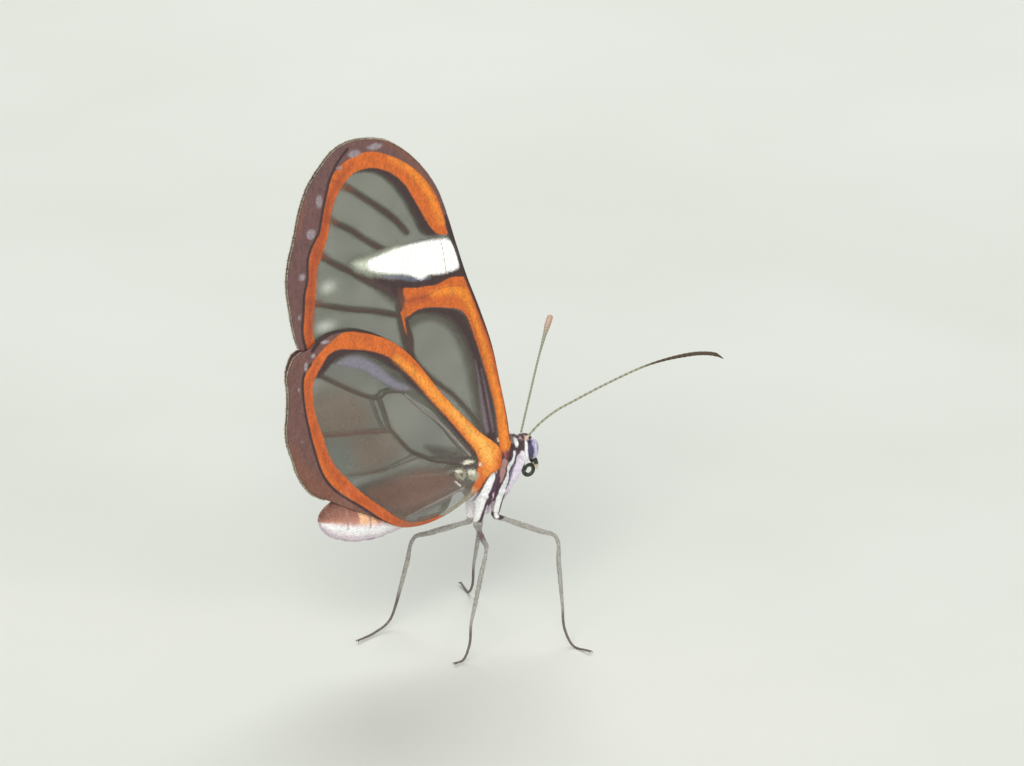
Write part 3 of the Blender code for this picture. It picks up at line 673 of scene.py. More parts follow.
def forewings() -> Wing:
    """Draw the forewings as the photo shows them."""
    outline = (
        (0.1, 0.6), (0.05, 2.0), (-0.1, 3.4), (-0.5, 5.6), (-1.2, 8.7), (-2.2, 11.6), (-3.3, 14.4),
        (-4.2, 17.1), (-5.0, 19.6), (-5.8, 21.6), (-6.9, 23.3), (-8.3, 24.8), (-10.0, 25.95),
        (-11.6, 26.36), (-13.2, 26.36), (-14.25, 26.0), (-15.45, 24.9), (-16.45, 23.6),
        (-17.1, 22.1), (-17.7, 19.65), (-18.2, 17.65), (-18.33, 16.3), (-18.1, 14.35),
        (-17.8, 12.55), (-17.35, 11.1), (-16.0, 10.0), (-12.0, 8.8), (-7.0, 4.9), (-2.8, 1.7),
        (-1.3, 0.5), (-0.9, -0.3), (-0.4, -0.4),
    )
    wavy = (
        (-16.8, 10.8), (-17.15, 12.4), (-17.05, 13.9), (-16.95, 15.4), (-16.7, 16.5), (-16.7, 17.5),
        (-16.6, 18.3), (-16.18, 19.2), (-15.75, 19.85), (-15.57, 20.7), (-15.3, 21.98),
        (-15.05, 23.03), (-14.75, 23.98), (-14.2, 24.98), (-13.3, 25.98),
    )
    band_outer = (
        (-14.3, 24.48), (-13.2, 25.18), (-11.6, 25.48), (-9.8, 24.88), (-8.3, 23.97), (-7.0, 22.78),
        (-5.9, 21.2), (-5.2, 19.3), (-4.8, 17.9),
    )
    band_inner = (
        (-5.8, 18.1), (-6.4, 18.8), (-7.5, 20.7), (-8.7, 22.62), (-10.2, 23.78), (-12.0, 24.18),
        (-12.8, 23.98), (-13.5, 23.4), (-14.1, 22.68), (-14.68, 21.3), (-14.97, 19.6),
        (-15.4, 18.3), (-15.85, 17.2), (-16.0, 15.2), (-16.33, 12.8), (-16.3, 10.8),
    )
    rays = (
        ((-13.26, 22.94, 0.14), (-12.06, 22.04, 0.16), (-10.66, 20.94, 0.18), (-9.47, 19.94, 0.18),
         (-8.3, 18.6, 0.16)),
        ((-14.26, 20.34, 0.14), (-13.06, 19.64, 0.16), (-12.06, 18.84, 0.16), (-10.0, 17.39, 0.2)),
        ((-15.46, 17.94, 0.14), (-13.96, 16.94, 0.17), (-12.66, 16.14, 0.18), (-11.36, 15.24, 0.22),
         (-10.09, 14.48, 0.26), (-8.94, 13.63, 0.3)),
        ((-16.06, 14.39, 0.13), (-14.66, 13.94, 0.15), (-13.06, 13.44, 0.16), (-11.36, 13.04, 0.16),
         (-8.94, 12.23, 0.17)),
        ((-8.9, 14.2, 0.2), (-8.95, 13.2, 0.2), (-8.8, 12.2, 0.26), (-8.45, 11.1, 0.38),
         (-8.2, 10.1, 0.4), (-8.0, 9.1, 0.24), (-6.6, 7.2, 0.12), (-4.4, 5.2, 0.1),
         (-0.9, 0.6, 0.08)),
        ((-8.1, 9.3, 0.1), (-11.6, 10.3, 0.1), (-16.8, 11.6, 0.08)),
    )
    costa = tuple((x, z, 0.13) for x, z in outline[1:13])
    radius = ((-0.6, 0.6, 0.11), (-1.0, 4.2, 0.11), (-2.1, 8.2, 0.11), (-3.4, 12.4, 0.11),
              (-4.8, 15.9, 0.11), (-6.2, 19.3, 0.09), (-8.0, 22.4, 0.07), (-10.6, 24.7, 0.05))
    disc = ((-3.6, 13.7, 0.09), (-5.2, 13.8, 0.09), (-7.0, 13.4, 0.09), (-8.6, 13.5, 0.09))
    markings = (
        Marking("haze", "#B4B8AE", 0.55, 0.9, 0.1, 0.0, spots=(
            (-14.9, 15.6, 1.1, 0.8), (-15.0, 12.5, 1.3, 0.8),
        )),
        Marking("glare", "#D2D6CC", 0.6, 0.45, 0.1, 0.0, spots=(
            (-15.0, 15.55, 0.45, 0.35), (-15.3, 12.55, 0.6, 0.35),
        )),
        Marking("vein_haze", "#5A463E", 0.5, 0.34, 0.1, strokes=rays),
        Marking("vein", "#46302A", 0.88, 0.14, strokes=rays),
        Marking("shade_haze", "#4A3838", 0.6, 0.5, 0.3, strokes=(
            ((-8.0, 11.4, 0.1), (-6.4, 11.8, 0.3), (-4.9, 11.3, 0.4), (-4.0, 10.4, 0.4),
             (-3.3, 9.0, 0.4), (-2.7, 7.2, 0.4), (-2.3, 5.6, 0.45), (-2.0, 4.2, 0.5),
             (-1.8, 2.6, 0.5)),
            ((-10.6, 14.8, 0.2), (-9.2, 13.6, 0.3)),
        )),
        Marking("shade", "#3A2325", 0.97, 0.24, 0.3, patches=(
            ((-13.0, 24.03), (-12.0, 24.38), (-10.2, 23.98), (-8.6, 22.68), (-7.4, 20.79),
             (-6.3, 18.9), (-5.4, 18.0), (-6.95, 18.3), (-7.55, 19.4), (-8.6, 21.33), (-9.4, 22.4),
             (-10.1, 23.08), (-10.9, 23.68), (-12.0, 23.98)),
            ((-11.2, 15.4), (-9.9, 15.75), (-8.9, 15.45), (-7.8, 15.1), (-7.1, 14.85),
             (-5.7, 14.95), (-4.8, 15.0), (-3.7, 15.1), (-3.3, 14.6), (-3.6, 14.1), (-5.2, 14.0),
             (-6.6, 13.9), (-7.7, 13.9), (-8.7, 14.0), (-9.3, 13.8), (-9.9, 14.5)),
        ), strokes=(
            ((-8.4, 11.6, 0.12), (-7.9, 12.1, 0.16), (-7.3, 12.3, 0.2), (-6.2, 12.2, 0.28),
             (-5.0, 11.85, 0.36), (-4.0, 11.2, 0.46), (-3.35, 10.2, 0.42), (-2.8, 9.0, 0.38),
             (-2.25, 7.2, 0.36), (-1.85, 5.6, 0.4), (-1.6, 4.3, 0.44), (-1.45, 3.0, 0.46),
             (-1.4, 1.6, 0.48)),
        )),
        Marking("veil", "#85747E", 0.7, 0.14, 0.12, strokes=(
            ((-2.55, 7.6, 0.02), (-2.25, 5.9, 0.08), (-2.1, 4.6, 0.12), (-1.95, 3.4, 0.15),
             (-1.75, 2.0, 0.14)),
            ((-2.05, 6.8, 0.02), (-1.75, 5.4, 0.05), (-1.55, 4.2, 0.08), (-1.38, 3.0, 0.09),
             (-1.25, 1.9, 0.06)),
        )),
        Marking("orange", "#D0641C", 1.0, 0.07, patches=(
            (*band_outer, *band_inner, (-17.0, 10.8), (-17.2, 12.4), (-17.05, 14.2),
             (-16.9, 15.7), (-16.7, 17.4), (-16.23, 19.2), (-15.66, 20.3), (-15.49, 21.4),
             (-15.15, 22.77), (-14.9, 23.58)),
            ((-8.7, 14.3), (-7.7, 14.2), (-6.6, 14.15), (-5.7, 14.15), (-5.2, 14.35), (-4.5, 14.5),
             (-3.9, 14.4), (-3.0, 14.2), (-1.7, 11.9), (-0.6, 8.7), (0.2, 5.0), (0.6, 2.0),
             (0.6, -0.8), (-0.9, -0.8), (-0.85, 0.6), (-0.85, 2.0), (-0.95, 3.5), (-1.25, 4.9),
             (-1.7, 6.6), (-2.2, 8.2), (-2.85, 10.1), (-3.3, 11.2), (-4.0, 11.9), (-4.9, 12.15),
             (-6.0, 12.4), (-6.9, 12.5), (-7.5, 12.45), (-8.0, 12.2), (-8.5, 12.0), (-8.8, 12.4),
             (-8.5, 13.3)),
        ), strokes=(((-8.8, 12.5, 0.1), (-8.6, 11.6, 0.09), (-8.4, 10.7, 0.03)),)),
        Marking("stain", "#7E3C1E", 0.6, 0.3, 0.2, strokes=(
            ((-14.5, 23.7, 0.05), (-13.9, 23.3, 0.3), (-13.0, 22.7, 0.1)),
            ((-15.2, 21.0, 0.05), (-14.8, 20.7, 0.25), (-14.2, 20.4, 0.1)),
            ((-16.3, 18.6, 0.05), (-15.9, 18.3, 0.3), (-15.0, 17.8, 0.1)),
            ((-16.7, 14.8, 0.05), (-16.4, 14.6, 0.25), (-15.6, 14.4, 0.1)),
            ((-8.9, 14.2, 0.1), (-8.7, 13.2, 0.15), (-8.5, 12.2, 0.1)),
        )),
        Marking("rust", "#9E4220", 0.8, 0.35, 0.2, strokes=(
            ((-13.0, 24.7, 0.15), (-14.6, 22.8, 0.3), (-15.4, 20.0, 0.35), (-16.2, 17.4, 0.35),
             (-16.5, 14.0, 0.35), (-16.6, 11.0, 0.3)),
            ((-8.4, 13.2, 0.1), (-7.6, 13.3, 0.3), (-6.6, 13.2, 0.2)),
            ((-3.1, 13.6, 0.05), (-2.3, 11.3, 0.1), (-1.3, 8.6, 0.1), (-0.5, 5.4, 0.1)),
        )),
        Marking("bright", "#EE8C22", 0.9, 0.3, 0.2, strokes=(
            ((-5.4, 18.9, 0.2), (-6.3, 21.0, 0.22), (-7.9, 23.3, 0.22), (-9.8, 24.7, 0.1)),
            ((-6.2, 13.5, 0.15), (-5.0, 13.5, 0.3), (-3.7, 13.2, 0.35), (-2.9, 11.6, 0.2),
             (-1.8, 8.6, 0.18), (-0.9, 5.2, 0.2), (-0.4, 2.4, 0.25), (-0.3, 0.4, 0.3)),
        )),
        Marking("fold", "#A5501C", 0.7, 0.04, 0.05, strokes=(
            tuple((x, z, 0.045) for x, z, _ in radius[1:4]),
            tuple((x, z, 0.04) for x, z, _ in disc),
            ((-2.9, 13.9, 0.05), (-2.0, 11.6, 0.05), (-1.0, 8.6, 0.05), (-0.35, 5.6, 0.04),
             (-0.1, 3.0, 0.03)),
        )),
        Marking("root", "#64303A", 0.97, 0.16, 0.3, patches=(
            ((-1.4, 0.1), (-1.1, 0.4), (-0.6, 0.25), (-0.2, 0.3), (0.2, 0.55), (0.8, 0.8),
             (0.8, -1.0), (-1.4, -1.0)),
        )),
        Marking("root_streak", "#B85A3E", 0.8, 0.08, 0.2, strokes=(
            ((-0.4, 0.4, 0.07), (-0.45, 0.0, 0.08), (-0.6, -0.45, 0.06)),
        )),
        Marking("glint", "#F6CF9A", 0.9, 0.05, 0.1, strokes=(
            ((-0.95, 1.32, 0.06), (-0.9, 1.08, 0.07)),
        )),
        Marking("white_haze", "#DDE3CF", 0.9, 0.5, 0.3, 0.0, patches=(
            ((-12.9, 17.0), (-11.8, 17.2), (-10.4, 17.4), (-9.0, 17.6), (-9.0, 15.5), (-10.6, 15.8),
             (-11.8, 16.2), (-12.7, 16.7)),
        )),
        Marking("white_shade", "#6E7284", 0.8, 0.14, 0.1, strokes=(
            ((-10.4, 15.6, 0.1), (-8.9, 15.25, 0.16), (-7.8, 14.9, 0.16), (-6.4, 14.75, 0.08)),
        )),
        Marking("white", "#FFFFFC", 1.0, 0.16, 0.25, 0.0, patches=(
            ((-4.85, 17.5), (-4.35, 17.0), (-3.98, 16.0), (-3.95, 15.1), (-4.8, 14.95),
             (-5.7, 14.9), (-6.5, 15.0), (-7.1, 14.75), (-7.8, 15.1), (-8.9, 15.5), (-9.9, 15.75),
             (-10.9, 16.0), (-11.6, 16.4), (-11.7, 16.85), (-10.9, 17.15), (-9.6, 17.45),
             (-8.3, 17.65), (-7.0, 17.7), (-5.7, 17.65)),
        )),
        Marking("white_vein", "#B08A7C", 0.85, 0.03, 0.03, strokes=(
            ((-5.55, 17.7, 0.045), (-5.25, 16.4, 0.04), (-5.0, 14.8, 0.05)),
        )),
        Marking("margin", "#6C4A48", 1.0, 0.07, patches=(
            (*wavy[:13], *band_outer, (-3.0, 18.0), (-4.4, 22.0), (-7.0, 27.0), (-12.0, 29.0),
             (-19.0, 28.0), (-22.0, 20.0), (-21.0, 9.0), (-17.0, 9.0)),
        )),
        Marking("margin_warm", "#85523C", 0.6, 0.3, 0.3, strokes=(
            ((-16.9, 22.8, 0.1), (-17.3, 21.2, 0.3), (-17.6, 19.9, 0.1)),
            ((-13.4, 26.5, 0.1), (-11.0, 26.4, 0.15), (-8.8, 25.0, 0.2), (-7.2, 23.4, 0.15),
             (-5.9, 21.3, 0.1)),
        )),
        Marking("edge_line", "#33201F", 0.95, 0.05, 0.08, strokes=(
            tuple((*place, 0.11) for place in wavy),
            ((-5.1, 19.4, 0.06), (-4.6, 18.0, 0.26), (-4.05, 16.6, 0.26), (-3.5, 15.0, 0.28),
             (-2.9, 13.4, 0.22), (-2.2, 11.4, 0.12), (-1.2, 8.6, 0.07), (-0.3, 5.0, 0.05),
             (0.1, 1.0, 0.05)),
        )),
        Marking("lilac", "#9A8E94", 0.85, 0.1, 0.15, spots=(
            (-11.0, 25.75, 0.6, 0.24), (-12.75, 25.5, 0.5, 0.28), (-14.0, 24.6, 0.22, 0.14),
            (-15.7, 22.3, 0.24, 0.5), (-16.4, 19.9, 0.36, 0.4), (-17.15, 16.7, 0.24, 0.28),
            (-17.4, 13.6, 0.12, 0.16),
        )),
    )
    fringe = outline[8:25]
    relief = (costa, radius, disc, *rays, tuple((x, z, 0.1) for x, z in outline[25:30]))
    return Wing("forewing", outline, relief, markings, forewing_face, fringe, "#585A4B", "#6D6E5F")


def hindwings() -> Wing:
    """Draw the hindwings as the photo shows them."""
    outline = (
        (-0.8, 0.08), (-0.87, 0.51), (-1.3, 1.1), (-2.3, 1.95), (-3.3, 3.05), (-4.6, 4.5),
        (-5.9, 6.1), (-7.2, 7.9), (-8.5, 9.4), (-9.7, 10.4), (-10.9, 11.1), (-12.0, 11.6),
        (-13.4, 12.0), (-14.5, 12.1), (-15.4, 11.95), (-16.1, 11.55), (-16.6, 11.1), (-17.3, 10.9),
        (-17.8, 10.65), (-18.15, 10.1), (-18.42, 9.15), (-18.3, 7.9), (-18.35, 6.0), (-18.45, 5.0),
        (-18.3, 3.7), (-17.88, 2.45), (-17.6, 1.5), (-17.1, 0.55), (-16.4, -0.35), (-15.3, -1.0),
        (-14.0, -1.6), (-12.3, -2.35), (-11.0, -3.1), (-9.9, -3.75), (-8.6, -4.3), (-7.3, -4.5),
        (-5.8, -4.3), (-4.7, -3.85), (-3.95, -3.1), (-3.4, -2.45), (-2.93, -1.95), (-2.52, -1.36),
        (-2.0, -0.98), (-1.41, -0.78), (-0.97, -0.4),
    )
    band_outer = (
        (-14.1, 11.8), (-14.8, 11.4), (-15.4, 11.0), (-16.0, 10.5), (-16.49, 9.9), (-17.01, 9.2),
        (-17.11, 8.2), (-17.02, 7.0), (-16.82, 5.7), (-16.57, 4.6), (-16.22, 3.3), (-15.91, 2.2),
        (-15.5, 1.1), (-14.87, 0.1), (-14.1, -0.7), (-12.7, -1.75), (-11.6, -2.65), (-10.2, -3.65),
    )
    band_inner = (
        (-5.2, -4.05), (-7.3, -4.1), (-9.1, -3.5), (-10.1, -2.9), (-11.2, -2.0), (-12.0, -1.3),
        (-12.7, -0.6), (-13.37, 0.2), (-14.11, 1.0), (-14.74, 1.9), (-15.19, 3.0), (-15.44, 3.9),
        (-15.82, 4.9), (-16.17, 6.1), (-16.27, 7.2), (-16.34, 8.1), (-16.07, 8.9), (-15.58, 9.7),
        (-15.1, 10.35), (-14.4, 10.6), (-13.0, 10.4), (-11.5, 10.0), (-10.4, 9.5), (-9.3, 8.7),
        (-8.3, 7.6), (-6.6, 5.5), (-5.0, 3.5), (-3.8, 1.9), (-2.9, 0.7),
    )
    median = ((-16.1, 8.95, 0.13), (-15.6, 8.7, 0.14), (-14.1, 7.8, 0.14), (-12.6, 6.9, 0.13),
              (-11.4, 6.3, 0.11), (-10.7, 6.15, 0.1), (-10.3, 6.5, 0.1), (-9.9, 6.5, 0.1),
              (-8.4, 6.2, 0.08))
    cross = ((-10.7, 6.2, 0.08), (-10.2, 4.7, 0.08), (-9.8, 3.5, 0.08))
    beside = ((-11.4, 6.2, 0.06), (-10.85, 4.8, 0.06), (-10.3, 3.5, 0.06))
    lower = ((-15.9, 4.1, 0.16), (-14.1, 3.9, 0.16), (-12.1, 3.7, 0.15), (-9.9, 3.4, 0.12))
    cubitus = ((-9.8, 3.5, 0.09), (-9.0, 2.5, 0.1), (-8.1, 1.5, 0.1), (-7.3, 1.0, 0.1),
               (-6.1, 0.4, 0.1), (-4.8, 0.1, 0.11), (-3.9, -0.2, 0.13), (-2.9, -0.4, 0.15))
    second = ((-7.3, 1.0, 0.07), (-8.7, 0.7, 0.06), (-10.2, 0.4, 0.06), (-12.0, 0.4, 0.06),
              (-14.2, 0.6, 0.05))
    anal = ((-9.2, -3.1, 0.05), (-7.3, -2.6, 0.07), (-5.9, -2.25, 0.08), (-4.3, -1.75, 0.1))
    radius = ((-2.7, 0.1, 0.1), (-3.0, 0.1, 0.1), (-3.35, 0.45, 0.08), (-4.2, 1.5, 0.08),
              (-5.5, 3.1, 0.08), (-7.3, 4.75, 0.06), (-8.6, 6.1, 0.06), (-10.2, 8.0, 0.07),
              (-12.4, 9.6, 0.06))
    costa = tuple((x, z, 0.13) for x, z in outline[1:15])
    markings = (
        Marking("blush", "#94786A", 0.45, 1.0, 0.1, 0.0, patches=(
            ((-15.9, 7.2), (-13.6, 7.2), (-11.6, 5.4), (-11.4, 4.2), (-15.9, 4.4)),
            ((-13.0, 3.6), (-10.2, 3.4), (-9.0, 1.6), (-12.4, 0.7)),
        )),
        Marking("flush", "#855A4E", 0.6, 0.6, 0.1, 0.0, patches=(
            ((-12.2, -0.9), (-9.6, -0.3), (-6.0, -0.3), (-4.4, -1.0), (-6.2, -2.1), (-8.8, -2.7),
             (-10.6, -2.3)),
        )),
        Marking("mist", "#8A918A", 0.35, 0.9, 0.1, 0.0, patches=(
            ((-15.4, 3.2), (-13.6, 3.4), (-12.6, 0.9), (-13.9, -0.1)),
            ((-14.6, 8.8), (-12.6, 9.0), (-10.4, 7.4), (-12.4, 7.3)),
        )),
        Marking("smoke", "#4E3C40", 0.6, 0.4, 0.2, 0.0, strokes=(
            ((-6.4, 1.3, 0.1), (-4.9, 0.5, 0.35), (-3.5, -0.2, 0.5), (-4.6, -1.3, 0.3)),
        )),
        Marking("lilac_band", "#8A8496", 0.8, 0.26, 0.2, 0.2, patches=(
            ((-14.5, 9.5), (-13.4, 9.95), (-12.3, 9.7), (-10.9, 8.75), (-9.6, 7.5), (-8.2, 6.35),
             (-8.6, 6.3), (-9.6, 6.7), (-10.9, 7.7), (-12.3, 8.7), (-13.7, 9.2)),
        )),
        Marking("faint_vein", "#634236", 0.7, 0.14, strokes=(lower, second)),
        Marking("vein_haze", "#5A4A42", 0.4, 0.3, 0.1, strokes=(median, cross, cubitus)),
        Marking("vein", "#4A3A32", 0.85, 0.1, strokes=(median, cross, cubitus, beside)),
        Marking("shade", "#3A2326", 0.97, 0.22, 0.3, patches=(
            ((-16.5, 8.8), (-15.9, 9.8), (-15.1, 10.6), (-14.4, 10.8), (-12.6, 10.6), (-11.3, 10.2),
             (-10.2, 9.7), (-9.1, 8.9), (-8.1, 7.8), (-6.4, 5.7), (-4.8, 3.7), (-3.6, 2.0),
             (-2.6, 0.7), (-2.9, 0.1), (-3.4, 0.85), (-4.4, 2.15), (-5.7, 3.9), (-7.1, 5.6),
             (-7.9, 6.4), (-8.4, 6.95), (-9.1, 7.85), (-10.0, 8.45), (-10.9, 9.2), (-12.0, 9.8),
             (-13.1, 10.05), (-14.1, 9.95), (-14.8, 9.6), (-15.6, 8.8)),
        )),
        Marking("pale_line", "#A0928F", 0.8, 0.07, 0.1, 0.3, strokes=(radius[2:7], anal)),
        Marking("orange", "#D2661E", 1.0, 0.07, patches=(
            ((-0.3, 1.0), (-2.0, 2.7), (-4.4, 5.4), (-7.0, 8.5), (-9.6, 11.2), (-11.2, 11.6),
             (-12.4, 11.8), (-13.4, 11.9), *band_outer, (-8.6, -4.5), (-6.6, -4.7), *band_inner,
             (-2.8, 0.4), (-2.7, -0.3), (-3.0, -0.7), (-3.2, -1.1), (-3.4, -1.5), (-3.7, -2.0),
             (-3.2, -2.5), (-2.3, -1.7), (-1.0, -0.9), (-0.3, -0.2)),
        ), strokes=(((-1.9, 0.6, 0.5), (-2.1, -0.3, 0.55), (-2.6, -0.9, 0.4)),)),
        Marking("rust", "#B04A24", 0.65, 0.35, 0.2, strokes=(
            ((-16.0, 9.9, 0.2), (-16.7, 8.2, 0.25), (-16.3, 5.0, 0.25), (-15.1, 2.0, 0.25),
             (-13.2, -0.7, 0.25), (-10.6, -2.9, 0.25), (-8.4, -4.1, 0.2), (-6.0, -4.3, 0.1)),
        )),
        Marking("bright", "#F59A34", 0.9, 0.35, 0.2, strokes=(
            ((-1.8, 0.6, 0.8), (-2.9, 1.8, 0.5), (-4.3, 3.6, 0.42), (-5.9, 5.4, 0.4),
             (-7.6, 7.4, 0.3), (-9.4, 9.1, 0.2)),
            ((-1.8, -0.2, 0.4), (-2.4, -0.9, 0.2)),
        )),
        Marking("glow", "#FFBC58", 0.85, 0.4, 0.2, strokes=(
            ((-2.0, 0.2, 0.4), (-2.2, 0.9, 0.35), (-3.3, 2.3, 0.12), (-4.6, 4.1, 0.05)),
        )),
        Marking("fold", "#B5601C", 0.75, 0.03, 0.04, strokes=(
            ((-2.75, 0.85, 0.035), (-2.1, 0.98, 0.04), (-1.5, 0.95, 0.03)),
            ((-2.75, -0.6, 0.04), (-2.3, -0.72, 0.045), (-2.1, -0.88, 0.03)),
        )),
        Marking("cream", "#CDBB95", 0.8, 0.3, 0.3, strokes=(
            ((-3.4, -2.0, 0.1), (-3.9, -2.7, 0.2), (-4.5, -3.4, 0.2), (-5.2, -3.9, 0.1)),
        )),
        Marking("patch", "#A8A48E", 0.85, 0.12, 0.5, 0.3, spots=(
            (-4.25, -0.8, 0.42, 0.36), (-3.4, -0.93, 0.42, 0.38),
        )),
        Marking("pupil", "#4A4440", 0.85, 0.07, 0.05, spots=((-4.2, -0.84, 0.12, 0.12),)),
        Marking("spots", "#E4DFCC", 0.95, 0.07, 0.25, 0.2, spots=(
            (-3.58, -0.04, 0.46, 0.16), (-3.4, -0.76, 0.28, 0.14), (-4.35, -0.62, 0.22, 0.1),
            (-2.6, -0.3, 0.1, 0.1),
        ), strokes=(((-4.84, -1.22, 0.05), (-4.52, -1.55, 0.06)),)),
        Marking("margin", "#704C46", 1.0, 0.07, patches=(
            (*band_outer, (-9.6, -4.1), (-9.6, -6.0), (-22.0, -5.0), (-22.0, 14.0), (-13.4, 14.0)),
        )),
        Marking("margin_warm", "#84523A", 0.6, 0.5, 0.4, strokes=(
            ((-18.2, 4.0, 0.1), (-17.5, 1.9, 0.5), (-16.2, 0.3, 0.6), (-14.8, -0.7, 0.45),
             (-13.2, -1.6, 0.1)),
        )),
        Marking("edge_line", "#33201F", 0.95, 0.05, 0.08, strokes=(
            tuple((x - 0.06, z - 0.02, 0.1) for x, z in band_outer[4:]),
            ((-10.6, 11.0, 0.06), (-12.0, 11.6, 0.11), (-13.4, 12.0, 0.14), (-14.5, 12.05, 0.17),
             (-15.4, 11.85, 0.2), (-16.0, 11.4, 0.2), (-16.4, 10.9, 0.16)),
        )),
        Marking("lilac", "#A79BA0", 0.9, 0.07, 0.12, spots=(
            (-15.35, 11.4, 0.34, 0.13), (-16.35, 10.5, 0.17, 0.17), (-16.95, 9.75, 0.14, 0.36),
            (-17.5, 8.0, 0.06, 0.12), (-17.25, 3.9, 0.06, 0.09),
        )),
    )
    fringe = outline[17:30]
    relief = (costa, radius, anal, median, cross, lower, cubitus, second)
    return Wing("hindwing", outline, relief, markings, hindwing_face, fringe, "#5E5F53", "#737165")


@dataclass
class Leg:
    """One leg's way from the thorax to the floor."""

    name: str
    side: Side
    hind: bool
    knee: tuple[float, float, float]
    ankle: tuple[float, float, float]
    toe: tuple[float, float]
    heel: float = 2.0

    COXA_MID = ((-1.1, 0.75, -2.6), (-1.12, 0.65, -4.78))
    COXA_HIND = ((-2.1, 0.8, -2.7), (-2.7, 0.55, -5.3))

    def mirrored(self, place: tuple) -> Array:
        """Put a place of the left half on this leg's side."""
        return np.array((place[0], place[1] * self.side.value, place[2]))

    def joints(self) -> Array:
        """Places and radii from the hip to the claws."""
        top, end = (self.mirrored(p) for p in (self.COXA_HIND if self.hind else self.COXA_MID))
        knee, ankle = np.array(self.knee), np.array(self.ankle)
        toe = np.array((*self.toe, FLOOR + TOE_HEIGHT))
        back = np.append(ankle[:2] - toe[:2], 0.0)
        heel = toe + back / np.linalg.norm(back) * self.heel
        shin = ankle + (heel - ankle) * (0.25, 0.25, 0.65)
        rows = (
            (*top, 0.76), (*part_way(top, end, 0.42), 0.5), (*part_way(top, end, 0.7), 0.37),
            (*end, 0.25), (*part_way(end, knee, 0.07), 0.2), (*part_way(end, knee, 0.35), 0.22),
            (*part_way(end, knee, 0.75), 0.205), (*part_way(knee, end, 0.02), 0.16),
            (*part_way(knee, ankle, 0.025), 0.15), (*part_way(knee, ankle, 0.35), 0.18),
            (*part_way(knee, ankle, 0.8), 0.15), (*ankle, 0.12), (*shin, 0.11), (*heel, 0.1),
            (*toe, 0.09),
        )
        return np.array(rows)


LEGS = (
    Leg("leg_hind_right", Side.RIGHT, True, (-4.1, -4.5, -5.5), (-5.6, -4.8, -11.1),
        (-7.2, -5.23), 0.8),
    Leg("leg_hind_left", Side.LEFT, True, (-6.0, 3.1, -6.8), (-6.9, 4.2, -12.3), (-11.15, 2.4)),
    Leg("leg_mid_right", Side.RIGHT, False, (2.1, -4.1, -5.9), (1.98, -5.2, -11.0), (2.65, -8.12)),
    Leg("leg_mid_left", Side.LEFT, False, (0.6, 4.1, -5.6), (0.8, 6.0, -11.3), (1.4, 9.0)),
)

EYE_CENTRE = (2.12, 0.5, -0.09)
EYE_HALF = (0.46, 0.48, 0.81)

ABDOMEN_RINGS = 7
ABDOMEN_NARROWING = 0.76

# X, Z and half height of the abdomen along its middle line.
ABDOMEN_AXIS = (
    (-3.2, -1.7, 0.75), (-4.2, -1.8, 0.78), (-6.0, -2.2, 1.08), (-9.0, -2.7, 1.68),
    (-11.5, -2.88, 1.94), (-13.4, -2.85, 1.78), (-14.8, -2.75, 1.28), (-15.5, -2.7, 0.7),
    (-15.75, -2.7, 0.25),
)

# Places count as a leg so near to its middle line, below this height and clear of the body.
LEG_REACH = 0.62
LEG_BLEND = 0.2
LEG_TOP = -4.5
BELLY = -4.9
BODY_HALF_WIDTH = 1.2
